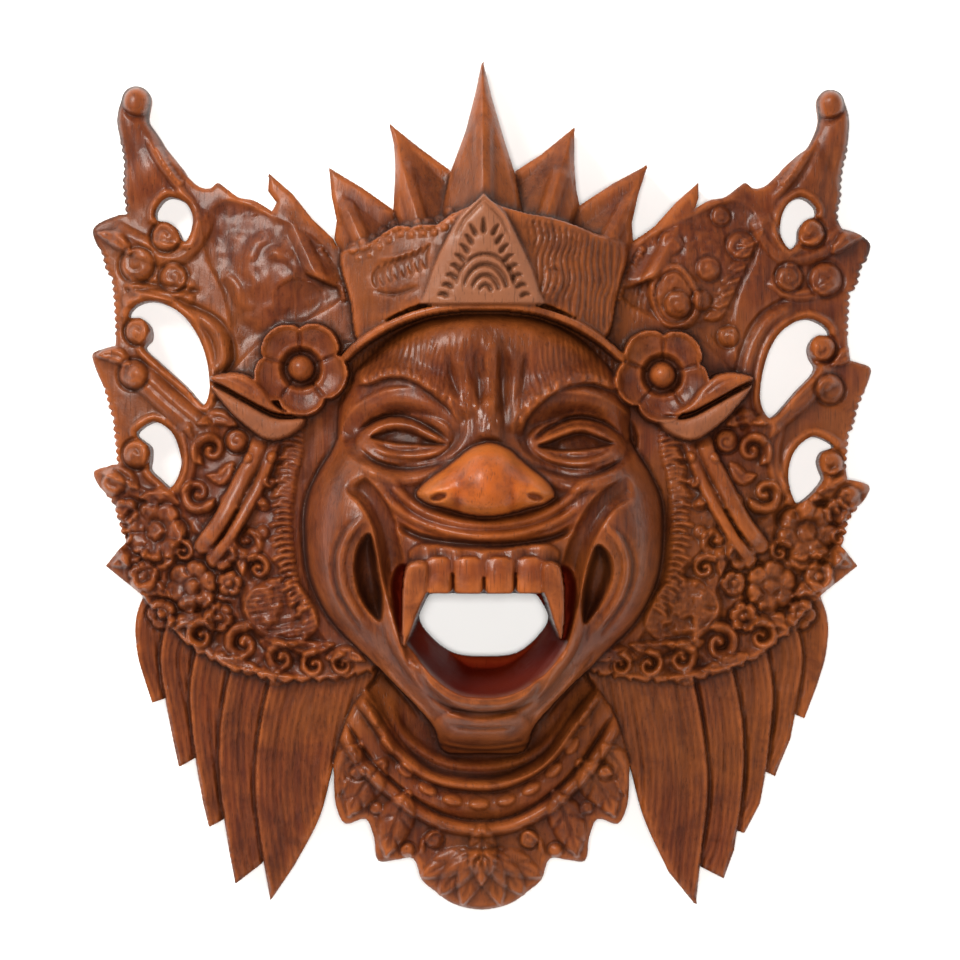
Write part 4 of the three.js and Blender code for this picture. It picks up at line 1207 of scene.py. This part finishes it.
def carve_chin(mask):
    mask.ridge(curve(UNDER_LIP, per=8), 2.4, -3.4, ends=0.15)
    mask.pad(curve(CHIN, closed=True), 3.4, 4.0)
    mask.ridge(curve([(-16, -105.6), (1, -107), (17, -105.8)], per=8), 1.0, -1.6)
    for side in SIDES:
        mask.ridge(line([(44, -80), (34, -92), (25, -101), (22, -108)], side, 0.5), 1.6, 2.2, ends=0.2)
        mask.ridge(line([(50, -72), (42, -86), (33, -97), (27, -106)], side, 0.5), 1.3, -1.8, ends=0.2)
    mask.ridge(curve([(-21.5, -112.5), (1, -115.6), (22, -112.8)], per=8), 1.2, -2.4, ends=0.15)


# The whole carving ------------------------------------------------------------------------------------------

EDGE_ROLL = 2.6
BACK_BEVEL = 3.0
BACK_BEVEL_REACH = 4.5
HOLLOW = {"x": 1.0, "y": -22.0, "half_width": 66.0, "half_length": 86.0, "depth": 57.0}
LEAST_WALL = 6.0


def carve_temples(mask):
    """Short hair strokes fanning away from the face, ending in little tufts."""
    for side in SIDES:
        roots = line([(76, 41), (77, 28), (78, 14), (81, 2), (82.5, -10), (82.5, -26), (80, -42),
                      (75, -54)], side, per=6)
        tips = line([(89, 45), (90, 31), (91.5, 16), (94, 3), (95.5, -10), (95, -28), (91, -46), (84, -60)],
                    side, per=6)
        for index, (root, tip) in enumerate(zip(roots, tips)):
            tip = root + (tip - root) * (0.85 + 0.14 * math.sin(index * 2.4))
            bend = (root + tip) / 2 + np.array([0.0, 1.3])
            mask.ridge(curve([tuple(root), tuple(bend), tuple(tip)], per=4), 1.25, 3.0, ends=0.25)
        for x, y, radius in ((92.5, 12, 2.6), (94, 1, 2.6), (96.5, -9, 3.0), (97, -21, 3.2), (104, 12, 2.4)):
            mask.boss(side * x, y, radius, 2.8, 1.0, hand=side)


def carved(step):
    """Everything in order: the outline, then the forms from the lowest to the highest, then the edges."""
    mask = Carving(step)
    saw_silhouette(mask)
    mask.z = plate(mask.x, mask.y)
    carve_throat(mask)
    for side in SIDES:
        carve_beard(mask, side)
        carve_wing(mask, side)
    carve_temples(mask)
    carve_crown(mask)
    for side in SIDES:
        carve_flower(mask, side)
        carve_beak(mask, side)
    carve_face(mask)
    mask.z += 0.18 * patches(mask.x, mask.y, 3.2, 91) + 0.30 * patches(mask.x, mask.y, 8.0, 92)
    mask.z = softened(mask.z)
    roll = np.clip(-mask.gap / EDGE_ROLL, 0.0, 1.0)
    mask.z -= EDGE_ROLL * (1.0 - half_round(1.0 - roll))
    mask.back = back_of(mask)
    mask.z = np.maximum(mask.z, mask.back + 4.0)
    return mask


def back_of(mask):
    """The height of the back: flat, bevelled at the outline, and gouged hollow for the face."""
    h = HOLLOW
    reach = ((mask.x - h["x"]) / h["half_width"]) ** 2 + ((mask.y - h["y"]) / h["half_length"]) ** 2
    gouged = 0.7 * pebbles(mask.x, mask.y * 0.55, 8.0, 95)
    bowl = h["depth"] * np.sqrt(np.clip(1 - reach, 0, 1)) - gouged * smooth((1 - reach) * 4)
    hollow = np.where(reach < 1, bowl, 0)
    hollow = np.minimum(hollow, blurred(mask.z, 3.0 / mask.step) - LEAST_WALL - 3.0)
    hollow = np.minimum(np.maximum(hollow, 0.0), np.maximum(mask.z - LEAST_WALL, 0.0))
    bevel = BACK_BEVEL * (1.0 - np.clip(-mask.gap / BACK_BEVEL_REACH, 0.0, 1.0)) ** 2
    return np.maximum(hollow, bevel)


# The mesh ---------------------------------------------------------------------------------------------------

WALL_LEVELS = 6
FINE_STEP, QUICK_STEP = 0.5, 1.0
MOST_TRIANGLES, TRIANGLE_LIMIT = 194000, 200000
# Each side of a cell: where the next cell is in the grid with a border, and the two corners between them.
CELL_SIDES = (((0, 1), 3, 0), ((2, 1), 1, 2), ((1, 0), 0, 1), ((1, 2), 2, 3))


def kept_cells(mask):
    """The cells inside the outline, in one piece, with no two touching only at a corner."""
    inside = mask.gap < 0
    cells = inside[:-1, :-1] & inside[1:, :-1] & inside[:-1, 1:] & inside[1:, 1:]
    for _ in range(12):
        a, b, c, d = cells[:-1, :-1], cells[1:, :-1], cells[:-1, 1:], cells[1:, 1:]
        crossed = (a & d & ~b & ~c) | (b & c & ~a & ~d)
        if not crossed.any():
            break
        cells[:-1, :-1] &= ~crossed
        cells[1:, :-1] &= ~crossed
    else:
        raise RuntimeError("the outline still touches itself at a corner")
    body = np.zeros_like(cells)
    middle = (cells.shape[0] // 2, int(cells.shape[1] * 0.62))
    body[middle] = cells[middle]
    size = 0
    while body.sum() > size:
        size = int(body.sum())
        for _ in range(40):
            body[1:] |= body[:-1]
            body[:-1] |= body[1:]
            body[:, 1:] |= body[:, :-1]
            body[:, :-1] |= body[:, 1:]
            body &= cells
    return body


def snapped(mask, cells):
    """Where each grid point goes in the plane: those on the edge of the cells move out to the outline."""
    x, y = mask.x.copy(), mask.y.copy()
    around = np.zeros(mask.x.shape, int)
    for i in (0, 1):
        for j in (0, 1):
            around[i:around.shape[0] - 1 + i, j:around.shape[1] - 1 + j] += cells
    rim = (around > 0) & (around < 4)
    slope_x, slope_y = np.gradient(mask.gap, mask.step)
    steep = np.maximum(np.hypot(slope_x, slope_y), 0.3)
    move = np.clip(-mask.gap, -0.9 * mask.step, 0.9 * mask.step) * rim / steep**2
    return x + slope_x * move, y + slope_y * move, around > 0


def closed_mesh(mask, name):
    """A closed mesh: the carved front, the back under it, and walls between them round every edge."""
    cells = kept_cells(mask)
    x, y, used = snapped(mask, cells)
    count = int(used.sum())
    front = np.full(used.shape, -1)
    front[used] = np.arange(count)
    front_points = np.column_stack([x[used], y[used], mask.z[used]])
    back_points = np.column_stack([x[used], y[used], mask.back[used]])
    corners = (front[:-1, :-1], front[1:, :-1], front[1:, 1:], front[:-1, 1:])
    quads = np.column_stack([c[cells] for c in corners])
    faces = [quads, quads[:, ::-1] + count]
    padded = np.pad(cells, 1)
    edges = []
    for (i, j), start, end in CELL_SIDES:
        neighbour = padded[i:i + cells.shape[0], j:j + cells.shape[1]]
        open_side = cells & ~neighbour
        edges.append(np.column_stack([corners[start][open_side], corners[end][open_side]]))
    edges = np.vstack(edges)
    rim_points = np.unique(edges)
    column = np.full(count, -1)
    column[rim_points] = np.arange(len(rim_points))
    levels = [rim_points]
    points = [front_points, back_points]
    total = 2 * count
    for level in range(1, WALL_LEVELS):
        share = level / WALL_LEVELS
        between = front_points[rim_points] * (1 - share) + back_points[rim_points] * share
        points.append(between)
        levels.append(total + np.arange(len(rim_points)))
        total += len(rim_points)
    levels.append(rim_points + count)
    start, end = column[edges[:, 0]], column[edges[:, 1]]
    for upper, lower in zip(levels[:-1], levels[1:]):
        faces.append(np.column_stack([upper[end], upper[start], lower[start], lower[end]]))
    return mesh_from(np.vstack(points) * MM, np.vstack(faces), name)


def mesh_from(points, quads, name):
    mesh = bpy.data.meshes.new(name)
    mesh.vertices.add(len(points))
    mesh.vertices.foreach_set("co", points.astype(np.float32).ravel())
    mesh.loops.add(quads.size)
    mesh.loops.foreach_set("vertex_index", quads.astype(np.int32).ravel())
    mesh.polygons.add(len(quads))
    mesh.polygons.foreach_set("loop_start", np.arange(0, quads.size, 4, dtype=np.int32))
    mesh.update(calc_edges=True)
    if mesh.validate():
        raise RuntimeError(f"{name} isn't a sound mesh")
    return mesh


def thinned(piece, triangles):
    """The piece with its flat parts thinned out, down to about this many triangles."""
    modifier = piece.modifiers.new("thin", "DECIMATE")
    modifier.ratio = min(1.0, triangles / (2 * len(piece.data.polygons)))
    modifier.use_collapse_triangulate = True
    graph = bpy.context.evaluated_depsgraph_get()
    mesh = bpy.data.meshes.new_from_object(piece.evaluated_get(graph))
    piece.modifiers.remove(modifier)
    old = piece.data
    piece.data = mesh
    bpy.data.meshes.remove(old)


def sampled(mask, field, x, y):
    """A grid field read at some points between its own."""
    i = np.clip((x - mask.x[0, 0]) / mask.step, 0, field.shape[0] - 1.001)
    j = np.clip((y - mask.y[0, 0]) / mask.step, 0, field.shape[1] - 1.001)
    a, b = i.astype(int), j.astype(int)
    u, v = i - a, j - b
    low = field[a, b] * (1 - u) + field[a + 1, b] * u
    high = field[a, b + 1] * (1 - u) + field[a + 1, b + 1] * u
    return low * (1 - v) + high * v


def shade_marks(mask, piece):
    """Point values that the finish reads: how sunken and how exposed the wood is, which it turns into painted
    shade in the cuts and into wear with a painted highlight on the high parts, and the tinted parts.
    """
    count = len(piece.data.vertices)
    points = np.empty(count * 3, np.float32)
    piece.data.vertices.foreach_get("co", points)
    x, y, z = (points.reshape(-1, 3) / MM).T
    outside = mask.gap > 0
    level = np.where(outside, 12.0, mask.z)
    fine, broad = blurred(level, 1.6 / mask.step), blurred(level, 5.0 / mask.step)
    # How far a point lies below its surroundings, for painted shade, and how far it stands above them, for
    # wear and a painted highlight.
    sunken = np.clip((fine - mask.z) / 1.3, 0, 1) * 0.6 + np.clip((broad - mask.z) / 5.0, 0, 1) * 0.6
    exposed = np.clip((mask.z - fine) / 0.9, 0, 1) * 0.6 + np.clip((mask.z - broad) / 4.0, 0, 1) * 0.5
    front, back = sampled(mask, mask.z, x, y), sampled(mask, mask.back, x, y)
    height = np.clip((z - back) / np.maximum(front - back, 1.0), 0, 1)
    facing = smooth((height - 0.55) / 0.35)
    marks = {"sunken": sunken, "exposed": exposed, **mask.tints}
    for name, field in marks.items():
        values = np.clip(sampled(mask, field, x, y), 0, 1) * facing
        store(piece, name, values)
    store(piece, "back", smooth((0.10 - height) / 0.08))


def store(piece, name, values):
    attribute = piece.data.attributes.new(name, "FLOAT", "POINT")
    attribute.data.foreach_set("value", values.astype(np.float32))


# The finish -------------------------------------------------------------------------------------------------


def linear(r, g, b):
    """A colour given by its screen values, 0 to 255."""
    shares = (c / 255 for c in (r, g, b))
    return tuple(c / 12.92 if c <= 0.04045 else ((c + 0.055) / 1.055) ** 2.4 for c in shares) + (1.0,)


class Nodes:
    """Short names for building a node tree."""

    def __init__(self, material):
        material.use_nodes = True
        self.tree = material.node_tree
        self.tree.nodes.clear()

    def add(self, kind, **settings):
        node = self.tree.nodes.new(kind)
        for name, value in settings.items():
            setattr(node, name, value)
        return node

    def join(self, source, target):
        self.tree.links.new(source, target)

    def mark(self, name):
        return self.add("ShaderNodeAttribute", attribute_name=name).outputs["Fac"]

    def maths(self, operation, a, b, clamp=False):
        node = self.add("ShaderNodeMath", operation=operation, use_clamp=clamp)
        for socket, value in zip(node.inputs, (a, b)):
            if isinstance(value, (int, float)):
                socket.default_value = value
            else:
                self.join(value, socket)
        return node.outputs[0]

    def blend(self, factor, a, b, mode="MIX"):
        node = self.add("ShaderNodeMix", data_type="RGBA", blend_type=mode, clamp_factor=True)
        for socket, value in ((node.inputs["Factor"], factor), (node.inputs[6], a), (node.inputs[7], b)):
            if isinstance(value, (int, float, tuple)):
                socket.default_value = value
            else:
                self.join(value, socket)
        return node.outputs[2]

    def noise(self, coordinates, scale, stretch=(1, 1, 1), detail=4.0, rough=0.55, distort=0.0):
        mapping = self.add("ShaderNodeMapping")
        mapping.inputs["Scale"].default_value = stretch
        self.join(coordinates, mapping.inputs["Vector"])
        node = self.add("ShaderNodeTexNoise")
        node.inputs["Scale"].default_value = scale
        node.inputs["Detail"].default_value = detail
        node.inputs["Roughness"].default_value = rough
        node.inputs["Distortion"].default_value = distort
        self.join(mapping.outputs[0], node.inputs["Vector"])
        return node.outputs["Fac"]

    def remap(self, value, low, high, to_low=0.0, to_high=1.0):
        node = self.add("ShaderNodeMapRange", clamp=True)
        for socket, number in zip(list(node.inputs)[1:5], (low, high, to_low, to_high)):
            socket.default_value = number
        self.join(value, node.inputs["Value"])
        return node.outputs["Result"]


def wood_material(colours, wear_and_highlight, gloss):
    """Dark reddish hardwood, stained and varnished, paler on its high parts from wear and a painted
    highlight, and darker in its cuts from painted shade.
    """
    material = bpy.data.materials.new("carved_wood")
    n = Nodes(material)
    place = n.add("ShaderNodeTexCoord").outputs["Object"]
    grain = n.noise(place, 420.0, (1.0, 0.06, 1.0), detail=4.0, rough=0.6, distort=0.3)
    figure = n.noise(place, 60.0, (1.0, 0.12, 1.0), detail=3.0, rough=0.6, distort=0.8)
    cloudy = n.noise(place, 22.0, detail=3.0)
    drift = n.noise(place, 11.0, detail=3.0, rough=0.6, distort=0.6)
    blotch = n.noise(place, 70.0, detail=5.0, rough=0.65, distort=0.4)
    speckle = n.noise(place, 900.0, detail=2.0, rough=0.7)
    pores = n.remap(n.noise(place, 1400.0, (1.0, 0.05, 1.0), detail=1.0), 0.60, 0.72)
    body = n.blend(n.remap(figure, 0.35, 0.65), colours["dark"], colours["wood"])
    body = n.blend(n.remap(cloudy, 0.40, 0.68, 0.0, 0.45), body, colours["red"])
    body = n.blend(n.remap(drift, 0.46, 0.62, 0.0, 0.7), body, colours["olive"])
    body = n.blend(n.remap(grain, 0.35, 0.75, 0.0, 0.32), body, colours["worn"])
    body = n.blend(n.remap(blotch, 0.50, 0.70, 0.0, 0.55), body, colours["dark"])
    # Wear and a painted highlight: the raised edges are made paler, in patches.
    rubbed = n.maths("MULTIPLY", n.mark("exposed"), n.remap(blotch, 0.66, 0.36, 0.25, 1.0))
    rubbed = n.maths("MULTIPLY", rubbed, wear_and_highlight, clamp=True)
    body = n.blend(rubbed, body, colours["worn"])
    body = n.blend(n.maths("MULTIPLY", n.mark("pale"), 0.75), body, colours["pale"])
    polished = n.maths("MULTIPLY", n.mark("warm"), n.remap(blotch, 0.35, 0.65, 1.0, 0.6))
    body = n.blend(polished, body, colours["nose"])
    burnt = n.remap(blotch, 0.46, 0.64, 0.0, 0.75)
    body = n.blend(n.maths("MULTIPLY", n.mark("warm"), burnt), body, colours["red"])
    # Painted highlight: the raised edges of the nose get a pale golden colour.
    nose_highlight = n.maths("MULTIPLY", n.mark("warm"), n.mark("exposed"))
    body = n.blend(n.maths("MULTIPLY", nose_highlight, 0.45, clamp=True), body, colours["nose_highlight"])
    body = n.blend(n.maths("MULTIPLY", n.mark("red"), 0.85), body, colours["mouth"])
    # Darkens what the dark tint covers towards the deep colour: painted shade in the eye openings and the
    # cheek dimples, and a band down the forehead.
    body = n.blend(n.maths("MULTIPLY", n.mark("dark"), 0.8), body, colours["deep"])
    # Painted shade: the sunken parts are darkened towards the deep colour, less so in the red mouth.
    sunk = n.maths("MULTIPLY", n.mark("sunken"), n.remap(speckle, 0.3, 0.7, 0.85, 1.15))
    sunk = n.maths("MULTIPLY", sunk, n.remap(n.mark("red"), 0.0, 1.0, 1.0, 0.35))
    body = n.blend(n.maths("MULTIPLY", sunk, 0.78, clamp=True), body, colours["deep"])
    body = n.blend(n.maths("MULTIPLY", pores, 0.35), body, colours["deep"])
    body = n.blend(n.maths("MULTIPLY", n.mark("back"), 0.55), body, colours["raw"])
    shader = n.add("ShaderNodeBsdfPrincipled")
    n.join(body, shader.inputs["Base Color"])
    dull = n.maths("ADD", n.remap(cloudy, 0.3, 0.7, 0.34, 0.50), n.maths("MULTIPLY", n.mark("sunken"), 0.25))
    dull = n.maths("SUBTRACT", dull, n.maths("MULTIPLY", n.mark("gloss"), 0.12))
    dull = n.maths("ADD", dull, n.maths("MULTIPLY", n.mark("back"), 0.3), clamp=True)
    n.join(dull, shader.inputs["Roughness"])
    # Less shine in the mouth and where the dark tint paints shade.
    hidden = n.maths("MAXIMUM", n.mark("red"), n.maths("MULTIPLY", n.mark("dark"), 0.8))
    open_wood = n.remap(hidden, 0.0, 1.0, 1.0, 0.06)
    n.join(n.maths("MULTIPLY", open_wood, 0.30), shader.inputs["Specular IOR Level"])
    n.join(n.maths("MULTIPLY", open_wood, gloss), shader.inputs["Coat Weight"])
    shader.inputs["Coat Roughness"].default_value = 0.22
    bump = n.add("ShaderNodeBump")
    bump.inputs["Strength"].default_value = 0.45
    bump.inputs["Distance"].default_value = 0.0006
    rough = n.maths("ADD", n.maths("MULTIPLY", grain, 0.7), n.maths("MULTIPLY", speckle, 0.35))
    rough = n.maths("SUBTRACT", rough, n.maths("MULTIPLY", pores, 0.35))
    n.join(rough, bump.inputs["Height"])
    n.join(bump.outputs[0], shader.inputs["Normal"])
    out = n.add("ShaderNodeOutputMaterial")
    n.join(shader.outputs[0], out.inputs["Surface"])
    return material


def floor_material(colour):
    """Matt pale paint, very slightly uneven."""
    material = bpy.data.materials.new("pale_floor")
    n = Nodes(material)
    place = n.add("ShaderNodeTexCoord").outputs["Object"]
    tone = n.remap(n.noise(place, 6.0, detail=1.0), 0.3, 0.7, 0.0, 1.0)
    shader = n.add("ShaderNodeBsdfPrincipled")
    darker = tuple(c * 0.985 for c in colour[:3]) + (1.0,)
    n.join(n.blend(tone, tuple(colour), darker), shader.inputs["Base Color"])
    n.join(n.remap(n.noise(place, 90.0, detail=0.0), 0.3, 0.7, 0.70, 0.85), shader.inputs["Roughness"])
    out = n.add("ShaderNodeOutputMaterial")
    n.join(shader.outputs[0], out.inputs["Surface"])
    return material


# Sizes and colours a user may change ------------------------------------------------------------------------


def colour_property(name, description, rgb):
    return bpy.props.FloatVectorProperty(
        name=name, description=description, subtype="COLOR", size=4, min=0.0, max=1.0, default=linear(*rgb)
    )


class MaskFinishSettings(bpy.types.PropertyGroup):
    wood: colour_property("Wood", "The stained wood's main colour", (86, 35, 13))
    dark: colour_property("Dark grain", "The darker streaks in the wood", (56, 20, 8))
    red: colour_property("Red patches", "Broad patches where the stain is redder", (80, 29, 14))
    olive: colour_property("Brown patches", "Broad patches where the stain is thin and yellower",
                           (100, 50, 14))
    # Worn wood: the grain's paler streaks, and the high edges made paler as wear and as a painted highlight.
    worn: colour_property("Worn wood", "The high parts, rubbed paler", (144, 75, 32))
    pale: colour_property("Pale wood", "The plaque and the bills", (128, 82, 58))
    nose: colour_property("Nose", "The polished nose", (150, 68, 17))
    # Nose rim: a painted highlight on the nose's raised edges.
    nose_highlight: colour_property("Nose rim", "The palest, most rubbed edges of the nose", (196, 112, 46))
    mouth: colour_property("Mouth", "The inside of the mouth", (92, 14, 5))
    # Deep cuts: painted shade in the cuts, hollows, eye openings and dimples, and also the dark of the pores.
    deep: colour_property("Deep cuts", "The stain settled in the cuts", (26, 9, 4))
    raw: colour_property("Back", "The plain wood of the back", (140, 86, 56))
    # Wear: how strongly the high parts are made paler, as wear and as a painted highlight.
    wear_and_highlight: bpy.props.FloatProperty(name="Wear", description="How far the high parts are rubbed", default=0.9,
                                  min=0.0, max=2.0)
    gloss: bpy.props.FloatProperty(name="Varnish", description="How glossy the varnish is", default=0.16,
                                   min=0.0, max=1.0)


COLOURS = ("wood", "dark", "red", "olive", "worn", "pale", "nose", "nose_highlight", "mouth", "deep", "raw")


class MaskStageSettings(bpy.types.PropertyGroup):
    floor_size: bpy.props.FloatProperty(
        name="Floor", description="Width of the floor", default=6.0, min=1.0, unit="LENGTH"
    )
    floor_colour: colour_property("Floor colour", "The floor's pale colour", (252, 251, 250))
    camera_height: bpy.props.FloatProperty(
        name="Camera height", description="How far above the floor the camera is", default=2.2, min=0.5,
        unit="LENGTH"
    )
    frame_width: bpy.props.FloatProperty(
        name="View width", description="Width the camera sees at the floor", default=0.434, min=0.1,
        unit="LENGTH"
    )
    light: bpy.props.FloatProperty(name="Light", description="How strong the lamps are", default=1.0,
                                   min=0.0, max=5.0)


CAMERA_CENTRE = (-0.0007, 0.002)
LAMPS = [
    ("key", (-0.70, 0.70, 0.95), 0.55, 19.0, (1.0, 0.96, 0.90)),
    ("overhead", (0.0, 0.0, 2.6), 0.3, 60.0, (1.0, 0.99, 0.97)),
    ("fill", (0.9, -0.1, 0.9), 0.9, 1.4, (1.0, 0.97, 0.94)),
    ("low", (-0.2, -1.0, 0.8), 0.9, 1.8, (1.0, 0.96, 0.90)),
]
LAMPS_AIM = (0.0, 0.0, 0.04)
SKY_COLOUR, SKY_STRENGTH = (1.0, 0.97, 0.94, 1.0), 0.28


# Operators --------------------------------------------------------------------------------------------------


class MASK_OT_carve(bpy.types.Operator):
    """Carve the wooden mask and finish it with stain and varnish"""

    bl_idname = "mask.carve"
    bl_label = "Carve mask"

    def execute(self, context):
        settings = context.scene.mask_finish
        relief = carved(FINE_STEP)
        piece = bpy.data.objects.new("mask_carving", closed_mesh(relief, "mask_carving"))
        context.scene.collection.objects.link(piece)
        thinned(piece, MOST_TRIANGLES)
        if len(piece.data.polygons) > TRIANGLE_LIMIT:
            raise RuntimeError("the carving has too many triangles")
        shade_marks(relief, piece)
        piece.data.polygons.foreach_set("use_smooth", np.ones(len(piece.data.polygons), bool))
        colours = {name: tuple(getattr(settings, name)) for name in COLOURS}
        piece.data.materials.append(wood_material(colours, settings.wear_and_highlight, settings.gloss))
        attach(piece, "root")
        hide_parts("mask")
        return {"FINISHED"}


class MASK_OT_stage(bpy.types.Operator):
    """Lay a pale floor, hang soft lamps over it, and set the camera above the mask"""

    bl_idname = "mask.stage"
    bl_label = "Set stage"

    def execute(self, context):
        settings = context.scene.mask_stage
        half = settings.floor_size / 2
        mesh = bpy.data.meshes.new("floor")
        mesh.from_pydata([(-half, -half, 0), (half, -half, 0), (half, half, 0), (-half, half, 0)], [],
                         [(0, 1, 2, 3)])
        floor = bpy.data.objects.new("floor", mesh)
        mesh.materials.append(floor_material(settings.floor_colour))
        context.scene.collection.objects.link(floor)
        floor.location.z = LOWEST.z
        for name, place, size, power, colour in LAMPS:
            add_lamp(context, name, place, size, power * settings.light, colour)
        world = bpy.data.worlds.new("studio")
        context.scene.world = world
        world.use_nodes = True
        background = world.node_tree.nodes["Background"]
        background.inputs["Color"].default_value = SKY_COLOUR
        background.inputs["Strength"].default_value = SKY_STRENGTH
        lens = bpy.data.cameras.new("camera")
        lens.sensor_width = 36.0
        lens.lens = lens.sensor_width * settings.camera_height / settings.frame_width
        camera = bpy.data.objects.new("camera", lens)
        camera.location = (CAMERA_CENTRE[0], CAMERA_CENTRE[1], LOWEST.z + settings.camera_height)
        context.scene.collection.objects.link(camera)
        context.scene.camera = camera
        context.scene.view_settings.view_transform = "Standard"
        return {"FINISHED"}


def add_lamp(context, name, place, size, power, colour):
    """A square soft lamp aimed at the middle of the mask."""
    data = bpy.data.lights.new(name, "AREA")
    data.size = size
    data.energy = power
    data.color = colour
    lamp = bpy.data.objects.new(name, data)
    lamp.location = place
    aim = mathutils.Vector(LAMPS_AIM) - lamp.location
    lamp.rotation_euler = aim.to_track_quat("-Z", "Y").to_euler()
    lamp.visible_glossy = name != "overhead"
    context.scene.collection.objects.link(lamp)


class MASK_PT_panel(bpy.types.Panel):
    """Sizes, colours and the two steps"""

    bl_label = "Carved mask"
    bl_idname = "MASK_PT_panel"
    bl_space_type = "VIEW_3D"
    bl_region_type = "UI"
    bl_category = "Mask"

    def draw(self, context):
        for settings in (context.scene.mask_finish, context.scene.mask_stage):
            column = self.layout.column()
            for name in settings.__annotations__:
                column.prop(settings, name)
        self.layout.operator("mask.carve")
        self.layout.operator("mask.stage")


CLASSES = (MaskFinishSettings, MaskStageSettings, MASK_OT_carve, MASK_OT_stage, MASK_PT_panel)


def register():
    for cls in CLASSES:
        bpy.utils.register_class(cls)
    bpy.types.Scene.mask_finish = bpy.props.PointerProperty(type=MaskFinishSettings)
    bpy.types.Scene.mask_stage = bpy.props.PointerProperty(type=MaskStageSettings)


def unregister():
    del bpy.types.Scene.mask_stage
    del bpy.types.Scene.mask_finish
    for cls in reversed(CLASSES):
        bpy.utils.unregister_class(cls)


def main():
    register()
    bpy.ops.mask.carve()
    bpy.ops.mask.stage()


if __name__ == "__main__":
    main()
